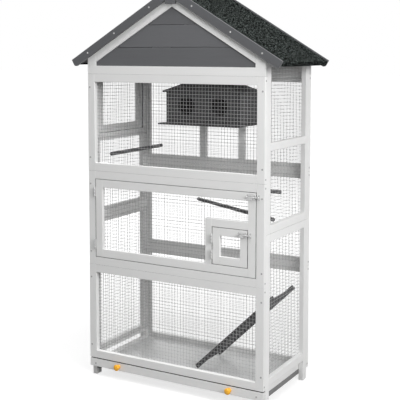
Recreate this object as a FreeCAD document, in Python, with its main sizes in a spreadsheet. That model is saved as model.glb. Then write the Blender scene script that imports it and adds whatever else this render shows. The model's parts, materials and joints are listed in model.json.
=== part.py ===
import FreeCAD, Part
import Sketcher
import os
import re

# Bird aviary: a timber cage of bolted mesh panels under a felted ridge roof.
# Lengths are millimetres. X runs from the left side to the right, Y from the front
# to the back, Z up. Pieces are laid out from the front left floor corner of the cage,
# and every node is then shifted so that the origin is the middle of the footprint.

SIZES = (
    # The box of panels
    ("width", 735),
    ("depth", 395),
    ("panel_thickness", 18),
    ("batten_width", 30),
    # Front panels, one above the other over the tray board
    ("front_lower_height", 363),
    ("front_middle_height", 358),
    ("front_upper_height", 364),
    ("front_foot_rail", 28),
    # Back panels, whose seams lie level with the front ones
    ("back_bottom_height", 41),
    ("back_foot_rail", 28),
    ("back_seam_rail", 27.5),
    # Side panels, whose stiles run down as legs
    ("leg_gap_height", 78),
    ("side_seam_height", 616),
    ("side_upper_height", 602.5),
    ("side_rail", 28),
    ("side_cross_height", 902),
    # Gables and roof
    ("gable_corner_inset", 37),
    ("gable_rail_drop", 59),
    ("gable_board_recess", 4),
    ("gable_board_thickness", 12),
    ("gable_first_course", 68.2),
    ("gable_course", 80.1),
    ("gable_board_gap", 1),
    ("roof_angle", 30.83),
    ("roof_seat_height", 29.7),
    ("eave_overhang", 66.7),
    ("felt_drop", 4.5),
    ("felt_thickness", 2),
    ("roof_board_thickness", 9),
    ("fascia_width", 30),
    ("fascia_thickness", 10),
    ("fascia_corner_radius", 9),
    ("apex_block_width", 40),
    ("apex_block_height", 59.5),
    ("apex_block_thickness", 12),
    # Main door with its post and cross rail, and the small door inside it
    ("door_thickness", 13),
    ("door_side_gap", 2),
    ("door_level_gap", 1.5),
    ("door_post_start", 505),
    ("door_post_width", 27),
    ("door_cross_height", 195),
    ("door_cross_rail", 28.2),
    ("small_door_member", 28.5),
    # Wire mesh
    ("wire", 1),
    ("mesh_lap", 20),
    ("mesh_edge_gap", 3),
    ("large_gaps_across_count", 25),
    ("large_gaps_up_count", 12),
    ("side_gaps_across_count", 12),
    ("side_lower_gaps_up_count", 19),
    ("side_upper_gaps_up_count", 22),
    ("left_upper_gaps_up_count", 12),
    ("side_door_gaps_across_count", 11),
    ("side_door_gaps_up_count", 10),
    ("main_door_gaps_across_count", 19),
    ("main_door_gaps_up_count", 11),
    ("corner_gaps_across_count", 7),
    ("corner_gaps_up_count", 4),
    ("small_door_gaps_across_count", 8),
    ("small_door_gaps_up_count", 7),
    # Butt hinges
    ("hinge_axis_reach", 6.5),
    ("knuckle_radius", 3),
    ("knuckle_gap", 0.3),
    ("hinge_pin_radius", 1.3),
    ("hinge_pin_clearance", 0.05),
    ("hinge_leaf_thickness", 0.8),
    ("hinge_leaf_depth", 12),
    ("main_hinge_height", 35),
    ("small_hinge_height", 32),
    ("main_hinge_inset", 31),
    ("small_hinge_low_inset", 17),
    ("small_hinge_high_inset", 24),
    ("side_hinge_inset", 36),
    # Barrel bolts
    ("bolt_plate_length", 32),
    ("bolt_plate_height", 21),
    ("bolt_plate_thickness", 1),
    ("bolt_setback", 3),
    ("bolt_guide_length", 4.5),
    ("bolt_guide_wall", 1.2),
    ("bolt_rod_radius", 2.5),
    ("bolt_rod_clearance", 0.5),
    ("bolt_rod_tip_gap", 0.5),
    ("bolt_rod_tail", 1.5),
    ("bolt_stem_radius", 1.5),
    ("bolt_stem_drop", 8.5),
    ("bolt_stem_setback", 23),
    ("bolt_knob_radius", 2.6),
    ("keeper_setback", 9),
    ("keeper_length", 6),
    ("keeper_slack", 0.8),
    ("main_bolt_drop", 16),
    ("small_bolt_drop", 17),
    ("side_bolt_drop", 110),
    # Litter tray
    ("tray_board_bottom", 38),
    ("tray_board_height", 31),
    ("tray_board_gap", 3.5),
    ("tray_wall_thickness", 6),
    ("tray_wall_height", 22),
    ("tray_rear_wall_height", 12),
    ("tray_floor_thickness", 9),
    ("tray_clearance", 1),
    ("runner_width", 14),
    ("runner_height", 18),
    ("runner_bottom", 24),
    ("tray_knob_inset", 131.5),
    ("tray_knob_height", 54.5),
    ("tray_knob_reach", 23),
    ("tray_knob_head_radius", 12),
    ("tray_knob_head_half", 8),
    ("tray_knob_base_radius", 7.5),
    ("tray_knob_neck_radius", 5.5),
    ("tray_screw_inset", 26),
    ("tray_screw_height", 50),
    # Nest box and the posts that carry it
    ("seat_gap", 0.3),
    ("nest_bottom_height", 963),
    ("nest_base_thickness", 6),
    ("nest_base_width", 344.5),
    ("nest_base_depth", 195.7),
    ("nest_width", 320.5),
    ("nest_depth", 152.7),
    ("nest_wall_height", 119),
    ("nest_wall", 9),
    ("nest_roof_angle", 18),
    ("nest_roof_thickness", 6),
    ("nest_roof_overhang", 11.5),
    ("nest_roof_front_overhang", 9),
    ("nest_hole_radius", 35),
    ("nest_hole_offset", 70.7),
    ("nest_hole_height", 66),
    ("nest_post_offset", 86),
    ("nest_post_width", 26.5),
    ("nest_post_depth", 15.5),
    # Perches
    ("perch_radius", 7),
    ("left_perch_inset", 89.5),
    ("left_perch_height", 859),
    ("long_perch_setback", 176),
    ("long_perch_height", 742),
    ("slant_perch_height", 652),
    ("slant_perch_start", 118.6),
    ("slant_perch_end", 258.7),
    # Ladder
    ("ladder_angle", 44.2),
    ("ladder_top_height", 373),
    ("ladder_foot_gap", 0.6),
    ("ladder_rail_depth", 17),
    ("ladder_rail_thickness", 9),
    ("ladder_setback", 131),
    ("ladder_width", 181),
    ("ladder_rung_radius", 4),
    ("ladder_rung_count", 7),
    # Screw heads
    ("screw_head_radius", 3.2),
    ("screw_crown_radius", 2),
    ("screw_head_height", 1.2),
    ("screw_inset", 9),
    ("screw_setback", 50),
    ("fascia_screw_low", 360),
    ("fascia_screw_middle", 240),
    ("fascia_screw_high", 88),
)

doc = FreeCAD.newDocument("bird_aviary")
sheet = doc.addObject("Spreadsheet::Sheet", "sizes")
for row, (alias, number) in enumerate(SIZES, start=1):
    sheet.set("A" + str(row), alias)
    sheet.set("B" + str(row), str(number))
    sheet.setAlias("B" + str(row), alias)
doc.recompute()

ALIASES = {alias for alias, number in SIZES}
SUB_PARTS = []


def tied(text):
    """A sum of size names, as an expression that reads the sheet."""
    return re.sub(r"[a-z_]+", lambda word: tie_word(word.group(0)), text)


def tie_word(word):
    """One word of a sum: a size name reads its cell, anything else stays."""
    if word in ALIASES:
        return "sizes." + word
    return word


def count(alias):
    """A whole number from the sheet."""
    return int(sheet.get(alias))


def move(piece, x, y, z):
    """Bind the place of a piece to sums of sizes."""
    for axis, place in (("x", x), ("y", y), ("z", z)):
        piece.setExpression("Placement.Base." + axis, tied(place))


def block(name, x, y, z):
    """A box between two places on each axis."""
    piece = doc.addObject("Part::Box", name)
    for side, (low, high) in (("Length", x), ("Width", y), ("Height", z)):
        piece.setExpression(side, tied(f"({high}) - ({low})"))
    move(piece, x[0], y[0], z[0])
    return piece


UP = (FreeCAD.Vector(0, 0, 1), 0)
RIGHT = (FreeCAD.Vector(0, 1, 0), 90)
LEFT = (FreeCAD.Vector(0, 1, 0), -90)
FORWARD = (FreeCAD.Vector(1, 0, 0), 90)
BACKWARD = (FreeCAD.Vector(1, 0, 0), -90)
DOWN = (FreeCAD.Vector(1, 0, 0), 180)
QUARTER_LEFT = (FreeCAD.Vector(0, 0, 1), 90)
QUARTER_RIGHT = (FreeCAD.Vector(0, 0, 1), -90)


def turned(piece, turn):
    """Turn a piece about an axis through its own start."""
    piece.Placement = FreeCAD.Placement(FreeCAD.Vector(), FreeCAD.Rotation(*turn))
    return piece


def rod(name, radius, length, place, turn):
    """A round bar that starts at a place and runs the way of its turn."""
    piece = turned(doc.addObject("Part::Cylinder", name), turn)
    piece.setExpression("Radius", tied(radius))
    piece.setExpression("Height", tied(length))
    move(piece, *place)
    return piece


def cone(name, base_radius, tip_radius, length, place, turn):
    """A round taper that starts at a place and runs the way of its turn."""
    piece = turned(doc.addObject("Part::Cone", name), turn)
    piece.setExpression("Radius1", tied(base_radius))
    piece.setExpression("Radius2", tied(tip_radius))
    piece.setExpression("Height", tied(length))
    move(piece, *place)
    return piece


def fused(name, pieces):
    """Several shapes joined into one solid."""
    piece = doc.addObject("Part::MultiFuse", name)
    piece.Shapes = pieces
    piece.Refine = True
    return piece


def cut(name, base, tool):
    """A solid less another."""
    piece = doc.addObject("Part::Cut", name)
    piece.Base = base
    piece.Tool = tool
    return piece


def group(name, pieces):
    """Several solids kept side by side."""
    piece = doc.addObject("Part::Compound", name)
    piece.Links = pieces
    return piece


def plate(name, points, y, holes=()):
    """A board sawn to an outline in the XZ plane, with round holes, between two depths."""
    body = doc.addObject("PartDesign::Body", name)
    sketch = body.newObject("Sketcher::SketchObject", name + "_outline")
    plane = [item for item in body.Origin.OriginFeatures if item.Role == "XZ_Plane"][0]
    sketch.AttachmentSupport = [(plane, "")]
    sketch.MapMode = "FlatFace"
    corners = [
        FreeCAD.Vector(float(sketch.evalExpression(tied(x))), float(sketch.evalExpression(tied(z))), 0)
        for x, z in points
    ]
    last = len(points)
    for index in range(last):
        sketch.addGeometry(Part.LineSegment(corners[index], corners[(index + 1) % last]), False)
    for index in range(last):
        sketch.addConstraint(Sketcher.Constraint("Coincident", index, 2, (index + 1) % last, 1))
    for index, (x, z) in enumerate(points):
        fix_point(sketch, index, 1, x, z)
    for x, z, radius in holes:
        size = float(sketch.evalExpression(tied(radius)))
        ring = Part.Circle(FreeCAD.Vector(0, 0, 0), FreeCAD.Vector(0, 0, 1), size)
        circle = sketch.addGeometry(ring, False)
        fix_point(sketch, circle, 3, x, z)
        fix_datum(sketch, Sketcher.Constraint("Radius", circle, size), radius)
    sketch.setExpression("AttachmentOffset.Base.z", tied(f"-({y[0]})"))
    pad = body.newObject("PartDesign::Pad", name + "_pad")
    pad.Profile = sketch
    pad.setExpression("Length", tied(f"({y[1]}) - ({y[0]})"))
    pad.Reversed = True
    return body


def fix_point(sketch, item, point, x, z):
    """Hold one point of a sketch by its two distances from the origin."""
    for kind, place in (("DistanceX", x), ("DistanceY", z)):
        value = float(sketch.evalExpression(tied(place)))
        fix_datum(sketch, Sketcher.Constraint(kind, -1, 1, item, point, value), place)


def fix_datum(sketch, constraint, text):
    """Add a sized constraint and bind its size to the sheet."""
    number = sketch.addConstraint(constraint)
    sketch.setExpression(f"Constraints[{number}]", tied(text))


def net_sheet(name, across, up, across_count, up_count, place, turn):
    """A flat wire net: one face with a grid of gaps, one wire thick."""
    piece = doc.addObject("Part::Feature", name)
    low, high, bottom, top, wire = (
        float(piece.evalExpression(tied(text))) for text in (*across, *up, "wire")
    )
    across_pitch = (high - low - wire) / count(across_count)
    up_pitch = (top - bottom - wire) / count(up_count)
    wires = [rectangle(low, high, bottom, top)]
    for column in range(count(across_count)):
        start = low + wire + column * across_pitch
        for level in range(count(up_count)):
            base = bottom + wire + level * up_pitch
            wires.append(gap_outline(start, start + across_pitch - wire, base, base + up_pitch - wire))
    piece.Shape = Part.Face(wires).extrude(FreeCAD.Vector(0, wire, 0))
    turned(piece, turn)
    move(piece, *place)
    return piece


def rectangle(low, high, bottom, top):
    """A closed wire in the XZ plane."""
    corners = ((low, bottom), (high, bottom), (high, top), (low, top), (low, bottom))
    return Part.makePolygon([FreeCAD.Vector(x, 0, z) for x, z in corners])


def gap_outline(low, high, bottom, top):
    """The same outline run the other way round, as a gap in a face needs."""
    corners = ((low, bottom), (low, top), (high, top), (high, bottom), (low, bottom))
    return Part.makePolygon([FreeCAD.Vector(x, 0, z) for x, z in corners])


def node(name, pieces):
    """Gather a sub-part's solids, name it and shift it to the part's own origin."""
    piece = group(name, pieces)
    piece.Label = name
    move(piece, "-width / 2", f"-({FOOTPRINT_MIDDLE})", "0")
    SUB_PARTS.append(piece)
    return piece


# Heights and places worked out from the sizes

FOOTPRINT_MIDDLE = "(depth + fascia_thickness + screw_head_height - tray_knob_reach) / 2"
FRONT_BASE = "(tray_board_bottom + tray_board_height + tray_board_gap)"
LOW_SEAM = f"({FRONT_BASE} + front_lower_height)"
HIGH_SEAM = f"({LOW_SEAM} + front_middle_height)"
FRONT_TOP = f"({HIGH_SEAM} + front_upper_height)"
GABLE_BASE = f"({FRONT_TOP} + batten_width)"
SIDE_TOP = "(side_seam_height + side_upper_height)"
RIGHT_INNER = "(width - panel_thickness)"
BACK_INNER = "(depth - panel_thickness)"
RUNNER_TOP = "(runner_bottom + runner_height)"
FRONT_PANEL = ("0", "panel_thickness")
BACK_PANEL = (BACK_INNER, "depth")
LEFT_PANEL = ("0", "panel_thickness")
RIGHT_PANEL = (RIGHT_INNER, "width")


def roof_height(from_middle, drop):
    """Height of the roof slope, a drop square below the fascia's top edge."""
    rise = f"tan(roof_angle) * (width / 2 - ({from_middle}))"
    return f"({SIDE_TOP} + roof_seat_height + {rise} - ({drop}) / cos(roof_angle))"


def roof_reach(height, drop):
    """Distance from the middle at which that slope has a given height."""
    level = roof_height("0", drop)
    return f"(({level} - ({height})) / tan(roof_angle))"


def eave_point(drop):
    """The square cut end of the slope, a drop below the fascia's top edge."""
    reach = f"(width / 2 + eave_overhang - ({drop}) * sin(roof_angle))"
    height = f"({roof_height('width / 2 + eave_overhang', '0')} - ({drop}) * cos(roof_angle))"
    return reach, height


def on_side(side, points):
    """Points given by their distance from the middle, on the left or the right."""
    sign = {"left": "-", "right": "+"}[side]
    return [(f"width / 2 {sign} ({reach})", height) for reach, height in points]


# Front and back panels: two stiles with rails between them

def flat_frame(name, y, bottom, top, rails):
    """A panel across the cage. Rails are pairs of heights."""
    pieces = [
        block(name + "_left_stile", ("0", "batten_width"), y, (bottom, top)),
        block(name + "_right_stile", ("width - batten_width", "width"), y, (bottom, top)),
    ]
    for index, rail in enumerate(rails):
        pieces.append(block(f"{name}_rail_{index}", ("batten_width", "width - batten_width"), y, rail))
    return node(name, pieces)


FRONT_FRAMES = (
    ("front_lower_frame", FRONT_BASE, LOW_SEAM, "front_foot_rail", "batten_width"),
    ("front_middle_frame", LOW_SEAM, HIGH_SEAM, "batten_width", "batten_width"),
    ("front_upper_frame", HIGH_SEAM, FRONT_TOP, "batten_width", "batten_width"),
)
BACK_FRAMES = (
    ("back_lower_frame", "back_bottom_height", LOW_SEAM, "back_foot_rail", "back_seam_rail"),
    ("back_middle_frame", LOW_SEAM, HIGH_SEAM, "back_seam_rail", "back_seam_rail"),
    ("back_upper_frame", HIGH_SEAM, FRONT_TOP, "back_seam_rail", "batten_width"),
)
for panels, panel_depth in ((FRONT_FRAMES, FRONT_PANEL), (BACK_FRAMES, BACK_PANEL)):
    for panel_name, base, summit, low_rail, high_rail in panels:
        end_rails = ((base, f"{base} + {low_rail}"), (f"{summit} - {high_rail}", summit))
        flat_frame(panel_name, panel_depth, base, summit, end_rails)


# Gables: a foot rail, two corner stubs, two sloping rails, and courses of dark board

GABLE_HALF = "(width / 2 - gable_corner_inset)"
ROOF_UNDERSIDE = "(felt_drop + felt_thickness + roof_board_thickness)"


def gable_frame(name, y):
    """The white frame of one gable."""
    pieces = [block(name + "_foot_rail", ("0", "width"), y, (FRONT_TOP, GABLE_BASE))]
    for side in ("left", "right"):
        stub = (
            ("width / 2", GABLE_BASE),
            (GABLE_HALF, GABLE_BASE),
            (GABLE_HALF, roof_height(GABLE_HALF, ROOF_UNDERSIDE)),
            ("width / 2", roof_height("width / 2", ROOF_UNDERSIDE)),
        )
        slope = (
            (GABLE_HALF, roof_height(GABLE_HALF, "gable_rail_drop")),
            ("0", roof_height("0", "gable_rail_drop")),
            ("0", roof_height("0", ROOF_UNDERSIDE)),
            (GABLE_HALF, roof_height(GABLE_HALF, ROOF_UNDERSIDE)),
        )
        pieces.append(plate(f"{name}_{side}_stub", on_side(side, stub), y))
        pieces.append(plate(f"{name}_{side}_slope", on_side(side, slope), y))
    return node(name, pieces)


def gable_point(height):
    """The point of the boarding's sloping edge at a height."""
    return roof_reach(height, "gable_rail_drop"), height


def gable_boards(name, y):
    """Three courses of level board that fill the gable."""
    first_seam = f"({GABLE_BASE} + gable_first_course)"
    second_seam = f"({first_seam} + gable_course)"
    corner = (GABLE_HALF, roof_height(GABLE_HALF, "gable_rail_drop"))
    courses = (
        ((GABLE_HALF, GABLE_BASE), corner, gable_point(f"{first_seam} - gable_board_gap")),
        (gable_point(first_seam), gable_point(f"{second_seam} - gable_board_gap")),
        (gable_point(second_seam),),
    )
    pieces = []
    for index, course in enumerate(courses):
        outline = on_side("right", course)
        if index == len(courses) - 1:
            outline.append(("width / 2", roof_height("0", "gable_rail_drop")))
        outline += reversed(on_side("left", course))
        pieces.append(plate(f"{name}_course_{index}", outline, y))
    return node(name, pieces)


BOARD_BACK = "(gable_board_recess + gable_board_thickness)"
gable_frame("front_gable_frame", FRONT_PANEL)
gable_frame("back_gable_frame", BACK_PANEL)
gable_boards("front_gable_boards", ("gable_board_recess", BOARD_BACK))
gable_boards("back_gable_boards", (f"depth - {BOARD_BACK}", "depth - gable_board_recess"))


# Side panels: stiles as legs, rails between them

def side_frame(name, x, bottom, top, rails):
    """A panel along the cage. Rails are pairs of heights."""
    front_stile = ("panel_thickness", "panel_thickness + batten_width")
    back_stile = (f"{BACK_INNER} - batten_width", BACK_INNER)
    between = (front_stile[1], back_stile[0])
    pieces = [
        block(name + "_front_stile", x, front_stile, (bottom, top)),
        block(name + "_back_stile", x, back_stile, (bottom, top)),
    ]
    for index, rail in enumerate(rails):
        pieces.append(block(f"{name}_rail_{index}", x, between, rail))
    return node(name, pieces)


LOWER_RAILS = (
    ("leg_gap_height", "leg_gap_height + side_rail"),
    ("side_seam_height - side_rail", "side_seam_height"),
)
UPPER_RAILS = (
    ("side_seam_height", "side_seam_height + side_rail"),
    ("side_cross_height", "side_cross_height + side_rail"),
    (f"{SIDE_TOP} - batten_width", SIDE_TOP),
)
for side_name, side_panel in (("left", LEFT_PANEL), ("right", RIGHT_PANEL)):
    side_frame(side_name + "_lower_frame", side_panel, "0", "side_seam_height", LOWER_RAILS)
    side_frame(side_name + "_upper_frame", side_panel, "side_seam_height", SIDE_TOP, UPPER_RAILS)


# Main door, with a post and a cross rail that make room for the small door

DOOR_DEPTH = ("0", "door_thickness")
DOOR_LEFT = "(batten_width + door_side_gap)"
DOOR_RIGHT = "(width - batten_width - door_side_gap)"
DOOR_BOTTOM = f"({LOW_SEAM} + batten_width + door_level_gap)"
DOOR_TOP = f"({HIGH_SEAM} - batten_width - door_level_gap)"
POST_END = "(door_post_start + door_post_width)"
POST_MIDDLE = "(door_post_start + door_post_width / 2)"
CROSS_BOTTOM = f"({LOW_SEAM} + door_cross_height)"
CROSS_TOP = f"({CROSS_BOTTOM} + door_cross_rail)"
INNER_LEFT = f"({DOOR_LEFT} + batten_width)"
INNER_RIGHT = f"({DOOR_RIGHT} - batten_width)"
INNER_BOTTOM = f"({DOOR_BOTTOM} + batten_width)"
INNER_TOP = f"({DOOR_TOP} - batten_width)"
DOOR_HEIGHT = (DOOR_BOTTOM, DOOR_TOP)
node("main_door_frame", [
    block("main_door_left_stile", (DOOR_LEFT, INNER_LEFT), DOOR_DEPTH, DOOR_HEIGHT),
    block("main_door_right_stile", (INNER_RIGHT, DOOR_RIGHT), DOOR_DEPTH, DOOR_HEIGHT),
    block("main_door_foot_rail", (INNER_LEFT, INNER_RIGHT), DOOR_DEPTH, (DOOR_BOTTOM, INNER_BOTTOM)),
    block("main_door_top_rail", (INNER_LEFT, INNER_RIGHT), DOOR_DEPTH, (INNER_TOP, DOOR_TOP)),
    block("main_door_post", ("door_post_start", POST_END), DOOR_DEPTH, (INNER_BOTTOM, CROSS_TOP)),
    block("main_door_cross_rail", (POST_END, INNER_RIGHT), DOOR_DEPTH, (CROSS_BOTTOM, CROSS_TOP)),
])


# Small door

SMALL_LEFT = f"({POST_END} + door_side_gap)"
SMALL_RIGHT = f"({INNER_RIGHT} - door_side_gap)"
SMALL_BOTTOM = f"({INNER_BOTTOM} + door_level_gap)"
SMALL_TOP = f"({CROSS_BOTTOM} - door_level_gap)"
SMALL_INNER_LEFT = f"({SMALL_LEFT} + small_door_member)"
SMALL_INNER_RIGHT = f"({SMALL_RIGHT} - small_door_member)"
SMALL_INNER_BOTTOM = f"({SMALL_BOTTOM} + small_door_member)"
SMALL_INNER_TOP = f"({SMALL_TOP} - small_door_member)"
SMALL_BETWEEN = (SMALL_INNER_LEFT, SMALL_INNER_RIGHT)
SMALL_HEIGHT = (SMALL_BOTTOM, SMALL_TOP)
node("small_door_frame", [
    block("small_door_left_stile", (SMALL_LEFT, SMALL_INNER_LEFT), DOOR_DEPTH, SMALL_HEIGHT),
    block("small_door_right_stile", (SMALL_INNER_RIGHT, SMALL_RIGHT), DOOR_DEPTH, SMALL_HEIGHT),
    block("small_door_foot_rail", SMALL_BETWEEN, DOOR_DEPTH, (SMALL_BOTTOM, SMALL_INNER_BOTTOM)),
    block("small_door_top_rail", SMALL_BETWEEN, DOOR_DEPTH, (SMALL_INNER_TOP, SMALL_TOP)),
])


# Side door, in the upper bay of the left side

SIDE_DOOR_FRONT = "(panel_thickness + batten_width + door_side_gap)"
SIDE_DOOR_BACK = f"({BACK_INNER} - batten_width - door_side_gap)"
SIDE_DOOR_BOTTOM = "(side_cross_height + side_rail + door_level_gap)"
SIDE_DOOR_TOP = f"({SIDE_TOP} - batten_width - door_level_gap)"
SIDE_INNER_FRONT = f"({SIDE_DOOR_FRONT} + batten_width)"
SIDE_INNER_BACK = f"({SIDE_DOOR_BACK} - batten_width)"
SIDE_INNER_BOTTOM = f"({SIDE_DOOR_BOTTOM} + side_rail)"
SIDE_INNER_TOP = f"({SIDE_DOOR_TOP} - batten_width)"
SIDE_BETWEEN = (SIDE_INNER_FRONT, SIDE_INNER_BACK)
SIDE_DOOR_HEIGHT = (SIDE_DOOR_BOTTOM, SIDE_DOOR_TOP)
node("side_door_frame", [
    block("side_door_front_stile", DOOR_DEPTH, (SIDE_DOOR_FRONT, SIDE_INNER_FRONT), SIDE_DOOR_HEIGHT),
    block("side_door_back_stile", DOOR_DEPTH, (SIDE_INNER_BACK, SIDE_DOOR_BACK), SIDE_DOOR_HEIGHT),
    block("side_door_foot_rail", DOOR_DEPTH, SIDE_BETWEEN, (SIDE_DOOR_BOTTOM, SIDE_INNER_BOTTOM)),
    block("side_door_top_rail", DOOR_DEPTH, SIDE_BETWEEN, (SIDE_INNER_TOP, SIDE_DOOR_TOP)),
])


# Wire mesh, stapled to the inner faces of frames and doors

NET_ACROSS = ("panel_thickness + mesh_edge_gap", f"{RIGHT_INNER} - mesh_edge_gap")
NET_ALONG = ("panel_thickness + mesh_edge_gap", f"{BACK_INNER} - mesh_edge_gap")


def cover(bottom, top):
    """The span of a sheet that laps over the members around an opening."""
    return (f"{bottom} - mesh_lap", f"{top} + mesh_lap")


def flat_net(name, across, up, across_count, up_count, depth):
    """A sheet across the cage whose front face lies at a depth."""
    return net_sheet(name, across, up, across_count, up_count, ("0", depth, "0"), UP)


def side_net(name, along, up, across_count, up_count, inner_face):
    """A sheet along the cage, turned so that its thickness ends at an inner face."""
    return net_sheet(name, along, up, across_count, up_count, (inner_face, "0", "0"), QUARTER_LEFT)


LARGE = ("large_gaps_across_count", "large_gaps_up_count")
FRONT_LOWER_SPAN = cover(f"{FRONT_BASE} + front_foot_rail", f"{LOW_SEAM} - batten_width")
FRONT_UPPER_SPAN = cover(f"{HIGH_SEAM} + batten_width", f"{FRONT_TOP} - batten_width")
BACK_SPANS = (
    cover("back_bottom_height + back_foot_rail", f"{LOW_SEAM} - back_seam_rail"),
    cover(f"{LOW_SEAM} + back_seam_rail", f"{HIGH_SEAM} - back_seam_rail"),
    cover(f"{HIGH_SEAM} + back_seam_rail", f"{FRONT_TOP} - batten_width"),
)
LOWER_SIDE_SPAN = cover(LOWER_RAILS[0][1], LOWER_RAILS[1][0])
UPPER_SIDE_SPAN = cover(UPPER_RAILS[0][1], UPPER_RAILS[2][0])
LEFT_UPPER_SPAN = cover(UPPER_RAILS[0][1], UPPER_RAILS[1][0])
SIDE_LOWER = ("side_gaps_across_count", "side_lower_gaps_up_count")
SIDE_UPPER = ("side_gaps_across_count", "side_upper_gaps_up_count")
LEFT_UPPER = ("side_gaps_across_count", "left_upper_gaps_up_count")

for level, span in (("lower", FRONT_LOWER_SPAN), ("upper", FRONT_UPPER_SPAN)):
    front_sheet = flat_net(f"front_{level}_sheet", NET_ACROSS, span, *LARGE, "panel_thickness")
    node(f"front_{level}_net", [front_sheet])
node("back_net", [
    flat_net(f"back_sheet_{index}", NET_ACROSS, span, *LARGE, f"{BACK_INNER} - wire")
    for index, span in enumerate(BACK_SPANS)
])
node("right_net", [
    side_net("right_lower_sheet", NET_ALONG, LOWER_SIDE_SPAN, *SIDE_LOWER, RIGHT_INNER),
    side_net("right_upper_sheet", NET_ALONG, UPPER_SIDE_SPAN, *SIDE_UPPER, RIGHT_INNER),
])
node("left_net", [
    side_net("left_lower_sheet", NET_ALONG, LOWER_SIDE_SPAN, *SIDE_LOWER, "panel_thickness + wire"),
    side_net("left_upper_sheet", NET_ALONG, LEFT_UPPER_SPAN, *LEFT_UPPER, "panel_thickness + wire"),
])
node("main_door_net", [flat_net(
    "main_door_sheet",
    (f"{INNER_LEFT} - mesh_lap", POST_MIDDLE),
    cover(INNER_BOTTOM, INNER_TOP),
    "main_door_gaps_across_count",
    "main_door_gaps_up_count",
    "door_thickness",
)])
node("main_door_corner_net", [flat_net(
    "main_door_corner_sheet",
    (POST_MIDDLE, f"{INNER_RIGHT} + mesh_lap"),
    (f"{CROSS_BOTTOM} + door_cross_rail / 2", f"{INNER_TOP} + mesh_lap"),
    "corner_gaps_across_count",
    "corner_gaps_up_count",
    "door_thickness",
)])
node("small_door_net", [flat_net(
    "small_door_sheet",
    (f"{SMALL_INNER_LEFT} - mesh_lap", f"{SMALL_INNER_RIGHT} + mesh_lap"),
    cover(SMALL_INNER_BOTTOM, SMALL_INNER_TOP),
    "small_door_gaps_across_count",
    "small_door_gaps_up_count",
    "door_thickness",
)])
node("side_door_net", [side_net(
    "side_door_sheet",
    (f"{SIDE_INNER_FRONT} - mesh_lap", f"{SIDE_INNER_BACK} + mesh_lap"),
    cover(SIDE_INNER_BOTTOM, SIDE_INNER_TOP),
    "side_door_gaps_across_count",
    "side_door_gaps_up_count",
    "door_thickness + wire",
)])


# Butt hinges, drawn about their own pin: the fixed leaf lies at -X, the door's leaf at +X

KNUCKLE_REACH = "(knuckle_radius + knuckle_gap)"
LEAF_END = "(hinge_axis_reach + hinge_leaf_depth)"
FIXED_LEAF = ("-door_side_gap / 2", "hinge_leaf_thickness - door_side_gap / 2")
DOOR_LEAF = ("door_side_gap / 2 - hinge_leaf_thickness", "door_side_gap / 2")


def knuckle(name, leaf, bottom, top):
    """One knuckle and the tab that joins it to its leaf."""
    barrel = rod(name + "_barrel", "knuckle_radius", f"({top}) - ({bottom})", ("0", "0", bottom), UP)
    tab = block(name + "_tab", leaf, ("0", KNUCKLE_REACH), (bottom, top))
    return [barrel, tab]


def hinge_leaf(name, leaf, height, spans, bore):
    """A leaf with its knuckles, bored for the pin."""
    pieces = [block(name + "_leaf", leaf, (KNUCKLE_REACH, LEAF_END), ("0", height))]
    for index, (bottom, top) in enumerate(spans):
        pieces += knuckle(f"{name}_knuckle_{index}", leaf, bottom, top)
    hole = rod(name + "_bore", bore, f"{height} + 2 * knuckle_radius", ("0", "0", "-knuckle_radius"), UP)
    return cut(name + "_bored", fused(name + "_solid", pieces), hole)


def hinge_pair(name, height, places, turn):
    """The leaves of every hinge on one door: fixed ones with their pins, and the door's."""
    fixed, moving = [], []
    for index, place in enumerate(places):
        stem = f"{name}_{index}"
        outer = (("0", f"{height} / 3 - knuckle_gap"), (f"2 * {height} / 3 + knuckle_gap", height))
        inner = ((f"{height} / 3", f"2 * {height} / 3"),)
        fixed_leaf = hinge_leaf(stem + "_fixed", FIXED_LEAF, height, outer, "hinge_pin_radius")
        door_leaf = hinge_leaf(
            stem + "_door", DOOR_LEAF, height, inner, "hinge_pin_radius + hinge_pin_clearance"
        )
        pin = rod(stem + "_pin", "hinge_pin_radius", height, ("0", "0", "0"), UP)
        for pieces, parts in ((fixed, [fixed_leaf, pin]), (moving, [door_leaf])):
            set_piece = turned(group(f"{stem}_set_{len(parts)}", parts), turn)
            move(set_piece, *place)
            pieces.append(set_piece)
    node(name + "_fixed_leaves", fixed)
    node(name + "_door_leaves", moving)


MAIN_HINGE_X = "batten_width + door_side_gap / 2"
MAIN_HINGE_PLACES = (
    (MAIN_HINGE_X, "-hinge_axis_reach", f"{DOOR_BOTTOM} + main_hinge_inset"),
    (MAIN_HINGE_X, "-hinge_axis_reach", f"{DOOR_TOP} - main_hinge_inset - main_hinge_height"),
)
SMALL_HINGE_X = f"{POST_END} + door_side_gap / 2"
SMALL_HINGE_PLACES = (
    (SMALL_HINGE_X, "-hinge_axis_reach", f"{SMALL_BOTTOM} + small_hinge_low_inset"),
    (SMALL_HINGE_X, "-hinge_axis_reach", f"{SMALL_TOP} - small_hinge_high_inset - small_hinge_height"),
)
SIDE_HINGE_Y = f"{SIDE_DOOR_BACK} + door_side_gap / 2"
SIDE_HINGE_PLACES = (
    ("-hinge_axis_reach", SIDE_HINGE_Y, f"{SIDE_DOOR_BOTTOM} + side_hinge_inset"),
    ("-hinge_axis_reach", SIDE_HINGE_Y, f"{SIDE_DOOR_TOP} - side_hinge_inset - main_hinge_height"),
)
hinge_pair("main_hinge", "main_hinge_height", MAIN_HINGE_PLACES, UP)
hinge_pair("small_hinge", "small_hinge_height", SMALL_HINGE_PLACES, UP)
hinge_pair("side_hinge", "main_hinge_height", SIDE_HINGE_PLACES, QUARTER_RIGHT)


# Barrel bolts, drawn from the free edge of their door: the rod lies along X, out of the face at -Y

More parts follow.
